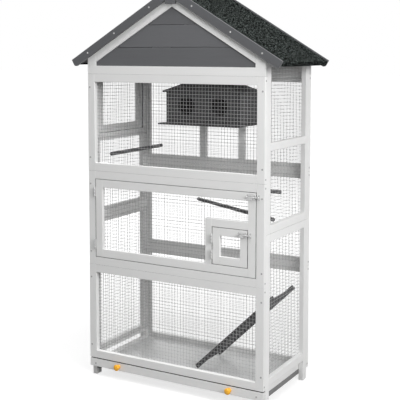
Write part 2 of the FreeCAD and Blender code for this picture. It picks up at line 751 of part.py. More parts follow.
ROD_LINE = "(bolt_plate_thickness + bolt_rod_clearance + bolt_rod_radius)"
GUIDE_REACH = f"({ROD_LINE} + bolt_rod_radius + bolt_rod_clearance + bolt_guide_wall)"
GUIDE_HALF = "(bolt_rod_radius + bolt_rod_clearance + bolt_guide_wall)"
SLOT_HALF = "(bolt_rod_radius + bolt_rod_clearance)"
PLATE_END = "(-bolt_setback)"
PLATE_START = "(-bolt_setback - bolt_plate_length)"


def bolt_guide(name, x):
    """A strap over the rod, open at the plate's side."""
    reach = (f"-{GUIDE_REACH}", "-bolt_plate_thickness")
    outer = block(name + "_outer", x, reach, (f"-{GUIDE_HALF}", GUIDE_HALF))
    slot = block(
        name + "_slot",
        (f"{x[0]} - bolt_guide_wall", f"{x[1]} + bolt_guide_wall"),
        (f"bolt_guide_wall - {GUIDE_REACH}", "0"),
        (f"-{SLOT_HALF}", SLOT_HALF),
    )
    return cut(name, outer, slot)


def bolt(name, place, turn):
    """Plate with guides, sliding rod with its hanging knob, and keeper."""
    plate_height = ("-bolt_plate_height / 2", "bolt_plate_height / 2")
    plate_depth = ("-bolt_plate_thickness", "0")
    backing = block(name + "_backing", (PLATE_START, PLATE_END), plate_depth, plate_height)
    near = bolt_guide(name + "_near_guide", (PLATE_START, f"{PLATE_START} + bolt_guide_length"))
    far = bolt_guide(name + "_far_guide", (f"{PLATE_END} - bolt_guide_length", PLATE_END))
    plate_solid = fused(name + "_plate_solid", [backing, near, far])
    rod_start = f"({PLATE_START} - bolt_rod_tail)"
    rod_length = f"keeper_setback - bolt_rod_tip_gap - {rod_start}"
    bar = rod(name + "_bar", "bolt_rod_radius", rod_length, (rod_start, f"-{ROD_LINE}", "0"), RIGHT)
    stem_x = "(keeper_setback - bolt_stem_setback)"
    stem = rod(name + "_stem", "bolt_stem_radius", "bolt_stem_drop", (stem_x, f"-{ROD_LINE}", "0"), DOWN)
    knob = doc.addObject("Part::Sphere", name + "_knob")
    knob.setExpression("Radius", tied("bolt_knob_radius"))
    move(knob, stem_x, f"-{ROD_LINE}", "-bolt_stem_drop")
    rod_solid = fused(name + "_rod_solid", [bar, stem, knob])
    keeper_half = "(bolt_rod_radius + keeper_slack)"
    keeper_x = ("keeper_setback", "keeper_setback + keeper_length")
    keeper_outer = block(
        name + "_keeper_outer",
        keeper_x,
        (f"-{GUIDE_REACH}", "0"),
        (f"-{keeper_half} - bolt_guide_wall", f"{keeper_half} + bolt_guide_wall"),
    )
    keeper_slot = block(
        name + "_keeper_slot",
        (f"{keeper_x[0]} - keeper_slack", f"{keeper_x[1]} + keeper_slack"),
        (f"bolt_guide_wall - {GUIDE_REACH}", "keeper_slack"),
        (f"-{keeper_half}", keeper_half),
    )
    keeper_solid = cut(name + "_keeper_solid", keeper_outer, keeper_slot)
    for ending, solid in (("plate", plate_solid), ("rod", rod_solid), ("keeper", keeper_solid)):
        set_piece = turned(group(f"{name}_{ending}_set", [solid]), turn)
        move(set_piece, *place)
        node(f"{name}_{ending}", [set_piece])


bolt("main_bolt", (DOOR_RIGHT, "0", f"{DOOR_TOP} - main_bolt_drop"), UP)
bolt("small_bolt", (SMALL_RIGHT, "0", f"{SMALL_TOP} - small_bolt_drop"), UP)
bolt("side_bolt", ("0", SIDE_DOOR_FRONT, f"{SIDE_DOOR_TOP} - side_bolt_drop"), QUARTER_RIGHT)


# Litter tray on its runners

TRAY_LEFT = "(panel_thickness + tray_clearance)"
TRAY_RIGHT = f"({RIGHT_INNER} - tray_clearance)"
TRAY_BACK = f"({BACK_INNER} - wire - seat_gap)"
TRAY_WALL_TOP = f"({RUNNER_TOP} + tray_wall_height)"
TRAY_BASE = (RUNNER_TOP, TRAY_WALL_TOP)
TRAY_DEPTH = ("panel_thickness", TRAY_BACK)
TRAY_FLOOR_X = (f"{TRAY_LEFT} + tray_wall_thickness", f"{TRAY_RIGHT} - tray_wall_thickness")
TRAY_REAR_TOP = f"({RUNNER_TOP} + tray_rear_wall_height)"
TRAY_REAR_FACE = f"({TRAY_BACK} - tray_wall_thickness)"
BOARD_HEIGHT = ("tray_board_bottom", "tray_board_bottom + tray_board_height")
node("tray_front", [block("tray_front_board", ("0", "width"), FRONT_PANEL, BOARD_HEIGHT)])
node("tray_walls", [
    block("tray_left_wall", (TRAY_LEFT, TRAY_FLOOR_X[0]), TRAY_DEPTH, TRAY_BASE),
    block("tray_right_wall", (TRAY_FLOOR_X[1], TRAY_RIGHT), TRAY_DEPTH, TRAY_BASE),
    block("tray_rear_wall", TRAY_FLOOR_X, (TRAY_REAR_FACE, TRAY_BACK), (RUNNER_TOP, TRAY_REAR_TOP)),
])
node("tray_floor", [block(
    "tray_floor_sheet",
    TRAY_FLOOR_X,
    ("panel_thickness", TRAY_REAR_FACE),
    (RUNNER_TOP, f"{RUNNER_TOP} + tray_floor_thickness"),
)])
node("tray_runners", [
    block(f"{side_name}_runner", x, ("panel_thickness", BACK_INNER), ("runner_bottom", RUNNER_TOP))
    for side_name, x in (
        ("left", ("panel_thickness", "panel_thickness + runner_width")),
        ("right", (f"{RIGHT_INNER} - runner_width", RIGHT_INNER)),
    )
])


def tray_knob(name, x):
    """A turned knob: a tapered neck under a rounded head."""
    neck_length = "(tray_knob_reach - tray_knob_head_half)"
    place = (x, "0", "tray_knob_height")
    radii = ("tray_knob_base_radius", "tray_knob_neck_radius")
    neck = cone(name + "_neck", *radii, neck_length, place, FORWARD)
    head = turned(doc.addObject("Part::Ellipsoid", name + "_head"), FORWARD)
    head.setExpression("Radius1", tied("tray_knob_head_half"))
    head.setExpression("Radius2", tied("tray_knob_head_radius"))
    head.setExpression("Radius3", tied("tray_knob_head_radius"))
    move(head, x, f"-{neck_length}", "tray_knob_height")
    return fused(name, [neck, head])


node("tray_knobs", [
    tray_knob("left_tray_knob", "tray_knob_inset"),
    tray_knob("right_tray_knob", "width - tray_knob_inset"),
])


# Nest box, screwed through the back mesh to two posts

NEST_BACK = f"({BACK_INNER} - wire - seat_gap)"
NEST_FRONT = f"({NEST_BACK} - nest_depth)"
NEST_FLOOR = "(nest_bottom_height + nest_base_thickness)"
NEST_TOP = f"({NEST_FLOOR} + nest_wall_height)"
NEST_HALF = "(nest_width / 2)"


def nest_roof_height(from_middle):
    """Underside of the nest box roof."""
    return f"({NEST_TOP} + tan(nest_roof_angle) * ({NEST_HALF} - ({from_middle})))"


def nest_gable(name, y, holes=()):
    """A five cornered end wall under the nest box roof."""
    ridge = ("0", nest_roof_height("0"))
    outline = on_side("right", ((NEST_HALF, NEST_FLOOR), (NEST_HALF, NEST_TOP), ridge))
    outline += on_side("left", ((NEST_HALF, NEST_TOP), (NEST_HALF, NEST_FLOOR)))
    return plate(name, outline, y, holes)


NEST_INNER_DEPTH = (f"{NEST_FRONT} + nest_wall", f"{NEST_BACK} - nest_wall")
NEST_LEFT = f"(width / 2 - {NEST_HALF})"
NEST_RIGHT = f"(width / 2 + {NEST_HALF})"
NEST_HEIGHT = (NEST_FLOOR, NEST_TOP)
NEST_HOLES = [
    (f"width / 2 {sign} nest_hole_offset", f"{NEST_FLOOR} + nest_hole_height", "nest_hole_radius")
    for sign in ("-", "+")
]
node("nest_base", [block(
    "nest_base_board",
    ("width / 2 - nest_base_width / 2", "width / 2 + nest_base_width / 2"),
    (f"{NEST_BACK} - nest_base_depth", NEST_BACK),
    ("nest_bottom_height", NEST_FLOOR),
)])
node("nest_walls", [
    nest_gable("nest_front_wall", (NEST_FRONT, f"{NEST_FRONT} + nest_wall"), NEST_HOLES),
    nest_gable("nest_back_wall", (f"{NEST_BACK} - nest_wall", NEST_BACK)),
    block("nest_left_wall", (NEST_LEFT, f"{NEST_LEFT} + nest_wall"), NEST_INNER_DEPTH, NEST_HEIGHT),
    block("nest_right_wall", (f"{NEST_RIGHT} - nest_wall", NEST_RIGHT), NEST_INNER_DEPTH, NEST_HEIGHT),
    block(
        "nest_divider",
        ("width / 2 - nest_wall / 2", "width / 2 + nest_wall / 2"),
        NEST_INNER_DEPTH,
        (NEST_FLOOR, nest_roof_height("nest_wall / 2")),
    ),
])
NEST_TIP = f"({NEST_HALF} + nest_roof_overhang)"
NEST_ROOF_RISE = "nest_roof_thickness / cos(nest_roof_angle)"
node("nest_roof", [
    plate(
        f"nest_roof_{side}",
        on_side(side, (
            ("0", nest_roof_height("0")),
            (NEST_TIP, nest_roof_height(NEST_TIP)),
            (NEST_TIP, f"{nest_roof_height(NEST_TIP)} + {NEST_ROOF_RISE}"),
            ("0", f"{nest_roof_height('0')} + {NEST_ROOF_RISE}"),
        )),
        (f"{NEST_FRONT} - nest_roof_front_overhang", NEST_BACK),
    )
    for side in ("left", "right")
])


def nest_post(name, middle):
    """A post behind the nest box, from rail to rail of the upper back panel."""
    return block(
        name,
        (f"{middle} - nest_post_width / 2", f"{middle} + nest_post_width / 2"),
        (BACK_INNER, f"{BACK_INNER} + nest_post_depth"),
        (f"{HIGH_SEAM} + back_seam_rail", f"{FRONT_TOP} - batten_width"),
    )


node("nest_box_posts", [
    nest_post("left_nest_post", "width / 2 - nest_post_offset"),
    nest_post("right_nest_post", "width / 2 + nest_post_offset"),
])


# Perches, held between the sheets of mesh

INSIDE_LEFT = "(panel_thickness + wire + seat_gap)"
INSIDE_RIGHT = f"({RIGHT_INNER} - wire - seat_gap)"
INSIDE_FRONT = "(panel_thickness + wire + seat_gap)"
INSIDE_BACK = f"({BACK_INNER} - wire - seat_gap)"
left_perch = rod(
    "left_perch",
    "perch_radius",
    f"{INSIDE_BACK} - {INSIDE_FRONT}",
    ("left_perch_inset", INSIDE_FRONT, "left_perch_height"),
    BACKWARD,
)
long_perch = rod(
    "long_perch",
    "perch_radius",
    f"{INSIDE_RIGHT} - {INSIDE_LEFT}",
    (INSIDE_LEFT, "long_perch_setback", "long_perch_height"),
    RIGHT,
)
SLANT_ALONG = f"({BACK_INNER} - slant_perch_start)"
SLANT_ACROSS = f"({RIGHT_INNER} - slant_perch_end)"
slant_bar = rod(
    "slant_perch_bar",
    "perch_radius",
    f"sqrt({SLANT_ACROSS} ^ 2 + {SLANT_ALONG} ^ 2) + 2 * batten_width",
    ("batten_width", "0", "0"),
    LEFT,
)
slant_group = turned(group("slant_perch_turned", [slant_bar]), UP)
slant_group.setExpression("Placement.Rotation.Angle", tied(f"-atan({SLANT_ALONG} / {SLANT_ACROSS})"))
move(slant_group, RIGHT_INNER, "slant_perch_start", "slant_perch_height")
inside = block(
    "inside_of_mesh",
    (INSIDE_LEFT, INSIDE_RIGHT),
    (INSIDE_FRONT, INSIDE_BACK),
    ("slant_perch_height - batten_width", "slant_perch_height + batten_width"),
)
slant_perch = doc.addObject("Part::Common", "slant_perch")
slant_perch.Base = slant_group
slant_perch.Tool = inside
node("perches", [left_perch, long_perch, slant_perch])


# Ladder, leaning from the tray to the right side

LADDER_RISE = "tan(ladder_angle)"
RAIL_HALF = "(ladder_rail_depth / 2 / cos(ladder_angle))"
RAIL_SHIFT = "(ladder_rail_depth * sin(ladder_angle))"
RAIL_LIFT = "(ladder_rail_depth * cos(ladder_angle))"
LADDER_FOOT = f"({TRAY_REAR_TOP} + ladder_foot_gap)"


def ladder_height(x, lift):
    """Height of a line along the ladder, lifted square up from its middle."""
    return f"(ladder_top_height + {lift} - {LADDER_RISE} * ({INSIDE_RIGHT} - ({x})))"


def ladder_place(height, lift):
    """Where that line has a given height."""
    return f"({INSIDE_RIGHT} - (ladder_top_height + {lift} - ({height})) / {LADDER_RISE})"


RAIL_TIP = ladder_height(INSIDE_RIGHT, f"-{RAIL_HALF}")
RAIL_HEEL = ladder_place(LADDER_FOOT, f"-{RAIL_HALF}")
RAIL_OUTLINE = (
    (RAIL_HEEL, LADDER_FOOT),
    (INSIDE_RIGHT, RAIL_TIP),
    (f"{INSIDE_RIGHT} - {RAIL_SHIFT}", f"{RAIL_TIP} + {RAIL_LIFT}"),
    (f"{RAIL_HEEL} - {RAIL_SHIFT}", f"{LADDER_FOOT} + {RAIL_LIFT}"),
)
LADDER_END = "(ladder_setback + ladder_width)"
node("ladder_rails", [
    plate("ladder_front_rail", RAIL_OUTLINE, ("ladder_setback", "ladder_setback + ladder_rail_thickness")),
    plate("ladder_back_rail", RAIL_OUTLINE, (f"{LADDER_END} - ladder_rail_thickness", LADDER_END)),
])
RUNG_LENGTH = "ladder_width - 2 * ladder_rail_thickness"
rungs = []
for rung in range(count("ladder_rung_count")):
    share = f"(({rung} + 1 / 2) / ladder_rung_count)"
    rung_height = f"({LADDER_FOOT} + {share} * (ladder_top_height - {LADDER_FOOT}))"
    place = (ladder_place(rung_height, "0"), "ladder_setback + ladder_rail_thickness", rung_height)
    rungs.append(rod(f"ladder_rung_{rung}", "ladder_rung_radius", RUNG_LENGTH, place, BACKWARD))
node("ladder_rungs", rungs)


# Roof: boards, felt, eave battens, fascias and apex blocks

BOARD_TOP = "(felt_drop + felt_thickness)"


def slope_slab(name, side, top_drop, bottom_drop, y):
    """A slab of the roof slope between two drops below the fascia's top edge."""
    outline = on_side(side, (
        ("0", roof_height("0", top_drop)),
        eave_point(top_drop),
        eave_point(bottom_drop),
        ("0", roof_height("0", bottom_drop)),
    ))
    return plate(name, outline, y)


node("roof_boards", [
    slope_slab(f"roof_board_{side}", side, BOARD_TOP, ROOF_UNDERSIDE, ("0", "depth"))
    for side in ("left", "right")
])
FELT_RIGHT = on_side("right", (eave_point("felt_drop"), eave_point(BOARD_TOP)))
FELT_LEFT = on_side("left", (eave_point(BOARD_TOP), eave_point("felt_drop")))
node("roof_felt", [plate(
    "roof_felt_sheet",
    [("width / 2", roof_height("0", "felt_drop"))]
    + FELT_RIGHT
    + [("width / 2", roof_height("0", BOARD_TOP))]
    + FELT_LEFT,
    ("0", "depth"),
)])
EAVE_OUTLINE = (
    ("width / 2", SIDE_TOP),
    ("width / 2 - panel_thickness", SIDE_TOP),
    ("width / 2 - panel_thickness", roof_height("width / 2 - panel_thickness", ROOF_UNDERSIDE)),
    ("width / 2", roof_height("width / 2", ROOF_UNDERSIDE)),
)
node("eave_battens", [
    plate(f"eave_batten_{side}", on_side(side, EAVE_OUTLINE), ("panel_thickness", BACK_INNER))
    for side in ("left", "right")
])


def fascia(name, side, y):
    """A sloping board from the apex block to the eave, its lower corner rounded."""
    half_block = "apex_block_width / 2"
    outline = on_side(side, (
        (half_block, roof_height(half_block, "0")),
        eave_point("0"),
        eave_point("fascia_width"),
        (half_block, roof_height(half_block, "fascia_width")),
    ))
    body = plate(name, outline, y)
    doc.recompute()
    corner_x, corner_z = (float(body.evalExpression(tied(text))) for text in outline[2])
    square_board = body.Tip
    round_over = body.newObject("PartDesign::Fillet", name + "_corner")
    round_over.Base = (square_board, [edge_at(square_board.Shape, corner_x, corner_z)])
    round_over.setExpression("Radius", tied("fascia_corner_radius"))
    body.Tip = round_over
    return body


def edge_at(shape, x, z):
    """The name of the edge along Y that stands nearest to a place."""
    def distance(index):
        ends = [vertex.Point for vertex in shape.Edges[index].Vertexes]
        return sum(abs(end.x - x) + abs(end.z - z) for end in ends)
    return "Edge" + str(min(range(len(shape.Edges)), key=distance) + 1)


FASCIA_DEPTHS = (("front", ("-fascia_thickness", "0")), ("back", ("depth", "depth + fascia_thickness")))
node("roof_fascias", [
    fascia(f"{end}_fascia_{side}", side, y) for end, y in FASCIA_DEPTHS for side in ("left", "right")
])


def apex_block(name, y):
    """The block that covers the joint of two fascias."""
    half_block = "apex_block_width / 2"
    bottom = f"{roof_height('0', '0')} - apex_block_height"
    outline = on_side("right", ((half_block, bottom), (half_block, roof_height(half_block, "0"))))
    outline.append(("width / 2", roof_height("0", "0")))
    outline += on_side("left", ((half_block, roof_height(half_block, "0")), (half_block, bottom)))
    return plate(name, outline, y)


node("apex_blocks", [
    apex_block("front_apex_block", ("-apex_block_thickness", "0")),
    apex_block("back_apex_block", ("depth", "depth + fascia_thickness")),
])


# Screw heads

def screw(name, place, turn):
    """A raised head that stands on a face."""
    return cone(name, "screw_head_radius", "screw_crown_radius", "screw_head_height", place, turn)


screws = []
for panels, face, turn in ((FRONT_FRAMES, "0", FORWARD), (BACK_FRAMES, "depth", BACKWARD)):
    for panel_name, base, summit, low_rail, high_rail in panels:
        for side, x in (("left", "screw_inset"), ("right", "width - screw_inset")):
            for end, z in (("low", f"{base} + screw_setback"), ("high", f"{summit} - screw_setback")):
                screws.append(screw(f"{panel_name}_{side}_{end}_screw", (x, face, z), turn))
for panels, y in ((FRONT_FRAMES, "panel_thickness / 2"), (BACK_FRAMES, "depth - panel_thickness / 2")):
    for panel_name, base, summit, low_rail, high_rail in panels:
        for side, x, turn in (("left", "0", LEFT), ("right", "width", RIGHT)):
            for end, z in (("low", f"{base} + {low_rail} / 2"), ("high", f"{summit} - {high_rail} / 2")):
                screws.append(screw(f"{panel_name}_{side}_{end}_edge_screw", (x, y, z), turn))
FASCIA_FACES = (("front", "-fascia_thickness", FORWARD), ("back", "depth + fascia_thickness", BACKWARD))
for end, face, turn in FASCIA_FACES:
    for side in ("left", "right"):
        for reach in ("fascia_screw_low", "fascia_screw_middle", "fascia_screw_high"):
            x, z = on_side(side, ((reach, roof_height(reach, "fascia_width / 2")),))[0]
            screws.append(screw(f"{end}_{side}_{reach}", (x, face, z), turn))
node("frame_screws", screws)
node("tray_screws", [
    screw(f"tray_screw_{side}", (x, "0", "tray_screw_height"), FORWARD)
    for side, x in (("left", "tray_screw_inset"), ("right", "width - tray_screw_inset"))
])


doc.recompute()
for item in doc.Objects:
    if "Invalid" in item.State or "Error" in item.State:
        raise RuntimeError(f"{item.Label} failed: {item.State}")
for sub_part in SUB_PARTS:
    if sub_part.Shape.isNull() or not sub_part.Shape.isValid():
        raise RuntimeError(f"{sub_part.Label} has no valid shape")
os.makedirs("parts", exist_ok=True)
for sub_part in SUB_PARTS:
    sub_part.Shape.exportStep(os.path.join("parts", sub_part.Label + ".step"))
print(len(SUB_PARTS), "sub-parts written")
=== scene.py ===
import json
import math
import random

import bmesh
import bpy
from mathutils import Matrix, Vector, geometry, noise


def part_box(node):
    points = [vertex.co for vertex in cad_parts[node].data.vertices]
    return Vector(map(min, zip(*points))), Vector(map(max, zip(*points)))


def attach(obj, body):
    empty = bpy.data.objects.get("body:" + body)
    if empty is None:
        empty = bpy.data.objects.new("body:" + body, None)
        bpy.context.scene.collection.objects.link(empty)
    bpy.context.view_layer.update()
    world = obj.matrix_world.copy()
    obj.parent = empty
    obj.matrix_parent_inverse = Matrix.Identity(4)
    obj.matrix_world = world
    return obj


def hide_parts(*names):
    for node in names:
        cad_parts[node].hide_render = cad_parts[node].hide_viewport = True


# Bird aviary. The sizes of its pieces are millimetres in the cage's own layout: X from the left side,
# Y from the front, Z from the floor. place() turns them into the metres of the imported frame.
# Materials, floor, lamps and camera are in metres.

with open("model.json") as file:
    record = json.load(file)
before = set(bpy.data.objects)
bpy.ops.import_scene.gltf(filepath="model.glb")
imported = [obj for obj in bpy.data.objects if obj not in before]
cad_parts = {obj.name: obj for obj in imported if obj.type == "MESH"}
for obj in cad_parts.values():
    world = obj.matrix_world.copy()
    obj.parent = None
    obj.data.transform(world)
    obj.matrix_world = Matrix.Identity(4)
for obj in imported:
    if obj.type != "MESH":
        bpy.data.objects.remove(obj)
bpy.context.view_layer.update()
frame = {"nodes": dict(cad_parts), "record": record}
BODY_OF = {
    node: body
    for body, nodes in frame["record"]["behaviour"]["bodies"].items()
    for node in nodes
}
MM = 0.001
CAGE_WIDTH = 735.0
CAGE_MIDDLE = Vector((367.5, 191.6, 0))


def place(x, y, z):
    """A point of the cage's layout, in metres of the frame."""
    return (Vector((x, y, z)) - CAGE_MIDDLE) * MM


# Materials

def new_material(name):
    """An empty material with one principled shader."""
    mat = bpy.data.materials.new(name)
    mat.use_nodes = True
    tree = mat.node_tree
    tree.nodes.clear()
    out = tree.nodes.new("ShaderNodeOutputMaterial")
    shader = tree.nodes.new("ShaderNodeBsdfPrincipled")
    tree.links.new(shader.outputs["BSDF"], out.inputs["Surface"])
    return mat, tree, shader


def put(tree, kind, inputs=(), settings=()):
    """Add a shader node. An input is a number, a colour or another node's output."""
    node = tree.nodes.new("ShaderNode" + kind)
    for key, value in dict(settings).items():
        setattr(node, key, value)
    for key, value in dict(inputs).items():
        if isinstance(value, bpy.types.NodeSocket):
            tree.links.new(value, node.inputs[key])
        else:
            node.inputs[key].default_value = value
    return node


def math_of(tree, operation, *values):
    """The result of a math node."""
    return put(tree, "Math", dict(enumerate(values)), {"operation": operation}).outputs[0]


def attribute_of(tree, name, output="Fac"):
    """What a mesh attribute says."""
    return put(tree, "Attribute", (), {"attribute_name": name}).outputs[output]


def noise_of(tree, vector, scale, stretch=(1, 1, 1), detail=3, roughness=0.5):
    """Noise over stretched coordinates, 0 to 1."""
    mapped = put(tree, "Mapping", {"Vector": vector, "Scale": stretch})
    made = put(
        tree,
        "TexNoise",
        {"Vector": mapped.outputs[0], "Scale": scale, "Detail": detail, "Roughness": roughness},
    )
    return made.outputs[0]


def ramp_of(tree, value, *stops):
    """A colour ramp through stops of (place, colour)."""
    node = put(tree, "ValToRGB", {"Fac": value})
    elements = node.color_ramp.elements
    while len(elements) < len(stops):
        elements.new(0.5)
    for element, (spot, colour) in zip(elements, stops):
        element.position = spot
        element.color = (*colour, 1)
    return node.outputs[0]


def bump_of(tree, shader, height, strength, distance):
    """Relief on a shader."""
    bump = put(tree, "Bump", {"Strength": strength, "Distance": distance, "Height": height})
    tree.links.new(bump.outputs[0], shader.inputs["Normal"])


def scaled(tree, colour, factor):
    """A colour times a value."""
    node = put(tree, "VectorMath", {0: colour, "Scale": factor}, {"operation": "SCALE"})
    return node.outputs[0]


# A timber noise is its scale, stretch, detail and roughness
FIBRE = (900, (0.02, 1, 1), 4, 0.6)
FIGURE = (70, (0.05, 1, 1), 3, 0.55)
MOTTLE = (9, (0.5, 1, 1), 2)
RINGS = (420, (0.1, 1, 1), 3)
END_SHADE = 0.3
GLOSS_SPREAD = 0.16
FIGURE_RELIEF = 1.4
RELIEF_DEPTH = 0.0005
PAINT_SPECULAR = 0.4
# Painted shade where another piece lies close: its darkness, reach, gain and samples
JOINT_SHADE = 0.06
SHADE_NEAR = 0.012
SHADE_GAIN = 2.4
SHADE_SAMPLES = 8
NEST_SHADE_NEAR = 0.3


def painted_timber(name, colour, streak, roughness, relief, near=SHADE_NEAR):
    """Paint over sawn softwood: fibres along the member, a tone for each, duller ends, painted shade in
    gaps.

    Faces marked for painted shade turn dark only where another piece covers them within the distance near,
    as shade would fall there, so an open door's edge is as pale as its front.
    """
    mat, tree, shader = new_material(name)
    grain = attribute_of(tree, "grain", "Vector")
    tone = attribute_of(tree, "tone")
    ends = attribute_of(tree, "ends")
    painted_shade_mask = attribute_of(tree, "painted_shade_mask")
    fibre = noise_of(tree, grain, *FIBRE)
    figure = noise_of(tree, grain, *FIGURE)
    mottle = noise_of(tree, grain, *MOTTLE)
    rings = noise_of(tree, grain, *RINGS)
    total = math_of(tree, "MULTIPLY_ADD", fibre, streak, 1 - 1.5 * streak)
    for value, share in ((figure, streak), (mottle, streak), (tone, 0.5 * streak)):
        total = math_of(tree, "ADD", total, math_of(tree, "MULTIPLY", value, share))
    end_shade = math_of(tree, "MULTIPLY", ends, math_of(tree, "MULTIPLY", rings, END_SHADE))
    total = math_of(tree, "SUBTRACT", total, end_shade)
    # Painted shade: marked faces darken as far as another piece covers them nearby
    around = put(tree, "AmbientOcclusion", {"Distance": near}, {"samples": SHADE_SAMPLES}).outputs["AO"]
    covered = math_of(tree, "MULTIPLY", math_of(tree, "SUBTRACT", 1.0, around), SHADE_GAIN)
    closed = math_of(tree, "MULTIPLY", painted_shade_mask, math_of(tree, "MINIMUM", covered, 1.0))
    shade_factor = math_of(tree, "SUBTRACT", 1.0, math_of(tree, "MULTIPLY", closed, 1 - JOINT_SHADE))
    total = math_of(tree, "MULTIPLY", total, shade_factor)
    tree.links.new(scaled(tree, colour, total), shader.inputs["Base Color"])
    gloss = math_of(tree, "MULTIPLY_ADD", figure, GLOSS_SPREAD, roughness - GLOSS_SPREAD / 2)
    tree.links.new(gloss, shader.inputs["Roughness"])
    height = math_of(tree, "ADD", fibre, math_of(tree, "MULTIPLY", figure, FIGURE_RELIEF))
    bump_of(tree, shader, height, relief, RELIEF_DEPTH)
    shader.inputs["Specular IOR Level"].default_value = PAINT_SPECULAR
    return mat


SPANGLE_SHARE = 0.14
CLOUD_SIZE_SHARE = 0.6
CLOUD_SHARE = 0.3
METAL_GLOSS_SPREAD = 0.25
METAL_GLOSS_DROP = 0.12
METAL_RELIEF = (0.15, 0.0001)


def metal(name, colour, roughness, mottle_size, metallic=1.0):
    """Zinc coated steel with a faint spangle."""
    mat, tree, shader = new_material(name)
    spot = put(tree, "TexCoord").outputs["Object"]
    spangle = put(tree, "TexVoronoi", {"Vector": spot, "Scale": mottle_size}).outputs["Color"]
    cloud = noise_of(tree, spot, mottle_size * CLOUD_SIZE_SHARE)
    flake = put(tree, "SeparateColor", {0: spangle}).outputs[0]
    grey = math_of(tree, "MULTIPLY_ADD", flake, SPANGLE_SHARE, 1 - SPANGLE_SHARE)
    dulling = math_of(tree, "MULTIPLY_ADD", cloud, CLOUD_SHARE, 1 - CLOUD_SHARE / 2)
    shade = math_of(tree, "MULTIPLY", grey, dulling)
    tree.links.new(scaled(tree, colour, shade), shader.inputs["Base Color"])
    gloss = math_of(tree, "MULTIPLY_ADD", cloud, METAL_GLOSS_SPREAD, roughness - METAL_GLOSS_DROP)
    tree.links.new(gloss, shader.inputs["Roughness"])
    bump_of(tree, shader, cloud, *METAL_RELIEF)
    shader.inputs["Metallic"].default_value = metallic
    return mat


GRANULE_SCALE = 480.0
GRANULE_PATCHES = (165, (1, 1, 1), 2, 0.75)
PATCH_SHARE = 1.1
PICK_SHARE = 0.35
GRANULE_RELIEF = (0.8, 0.0012)
GRANULE_TONES = (
    (0.0, (0.0012, 0.0013, 0.0013)),
    (0.70, (0.0022, 0.0025, 0.0024)),
    (0.80, (0.012, 0.014, 0.0132)),
    (0.95, (0.15, 0.172, 0.163)),
)


def roofing_felt(name):
    """Bitumen felt faced with coarse slate granules, black with paler grey green ones."""
    mat, tree, shader = new_material(name)
    spot = put(tree, "TexCoord").outputs["Object"]
    cells = put(tree, "TexVoronoi", {"Vector": spot, "Scale": GRANULE_SCALE})
    pick = put(tree, "SeparateColor", {0: cells.outputs["Color"]}).outputs[0]
    patch = noise_of(tree, spot, *GRANULE_PATCHES)
    lift = math_of(tree, "MULTIPLY_ADD", patch, PATCH_SHARE, math_of(tree, "MULTIPLY", pick, PICK_SHARE))
    tree.links.new(ramp_of(tree, lift, *GRANULE_TONES), shader.inputs["Base Color"])
    bump_of(tree, shader, cells.outputs["Distance"], *GRANULE_RELIEF)
    shader.inputs["Roughness"].default_value = 0.95
    shader.inputs["Specular IOR Level"].default_value = 0.0
    return mat


PINE_WOBBLE = (35, (1, 1, 1), 2)
PINE_LAYERS = {"Scale": 95.0, "Distortion": 3.0, "Detail": 2.0, "Phase Offset": 1.3}
PINE_TONES = ((0.1, (0.93, 0.50, 0.035)), (0.9, (0.82, 0.35, 0.012)))
LAYER_SHARE = 0.6
LAYER_RELIEF = (0.05, 0.0002)


def varnished_timber(name):
    """Turned pine under clear varnish, with its rings."""
    mat, tree, shader = new_material(name)
    spot = put(tree, "TexCoord").outputs["Object"]
    wobble = noise_of(tree, spot, *PINE_WOBBLE)
    waves = put(tree, "TexWave", {"Vector": spot, **PINE_LAYERS}, {"bands_direction": "Z"})
    layers = waves.outputs["Fac"]
    soft = math_of(tree, "MULTIPLY", wobble, 1 - LAYER_SHARE)
    blend = math_of(tree, "MULTIPLY_ADD", layers, LAYER_SHARE, soft)
    tree.links.new(ramp_of(tree, blend, *PINE_TONES), shader.inputs["Base Color"])
    bump_of(tree, shader, layers, *LAYER_RELIEF)
    shader.inputs["Roughness"].default_value = 0.4
    shader.inputs["Specular IOR Level"].default_value = 0.3
    shader.inputs["Coat Weight"].default_value = 0.2
    shader.inputs["Coat Roughness"].default_value = 0.1
    return mat


# Each paint: its name, its colour, how streaky, rough and raised it is
WHITE = painted_timber("white_paint", (0.80, 0.80, 0.795), 0.035, 0.52, 0.16)
DARK = painted_timber("dark_grey_paint", (0.108, 0.110, 0.116), 0.16, 0.55, 0.25)
FASCIA = painted_timber("fascia_paint", (0.088, 0.090, 0.095), 0.16, 0.55, 0.25)
# The nest box's paint reaches far for its painted shade, so its whole inside is dark
NEST = painted_timber("nest_box_stain", (0.046, 0.0464, 0.048), 0.22, 0.62, 0.3, NEST_SHADE_NEAR)
RAILS = painted_timber("ladder_stain", (0.045, 0.045, 0.047), 0.22, 0.6, 0.3)
RUNNER = painted_timber("runner_stain", (0.19, 0.19, 0.19), 0.2, 0.62, 0.3)
# Roof boards near black: painted shade standing in for the shade under the roof
ROOF_BOARD_SHADE = painted_timber("roof_board_painted_shade", (0.028, 0.028, 0.030), 0.3, 0.7, 0.3)
TRAY = painted_timber("tray_board_paint", (0.75, 0.755, 0.755), 0.04, 0.5, 0.12)
WIRE = metal("galvanised_wire", (0.46, 0.46, 0.46), 0.42, 700.0, 0.2)
ZINC = metal("zinc_steel", (0.50, 0.50, 0.50), 0.34, 320.0)
DULL = metal("dulled_steel", (0.50, 0.50, 0.50), 0.5, 320.0, 0.5)
AGED = metal("aged_screw_steel", (0.42, 0.42, 0.42), 0.5, 320.0, 0.4)
FELT = roofing_felt("roofing_felt_granules")
KNOB = varnished_timber("varnished_pine")


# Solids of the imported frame

POINT_GRID = 1e6


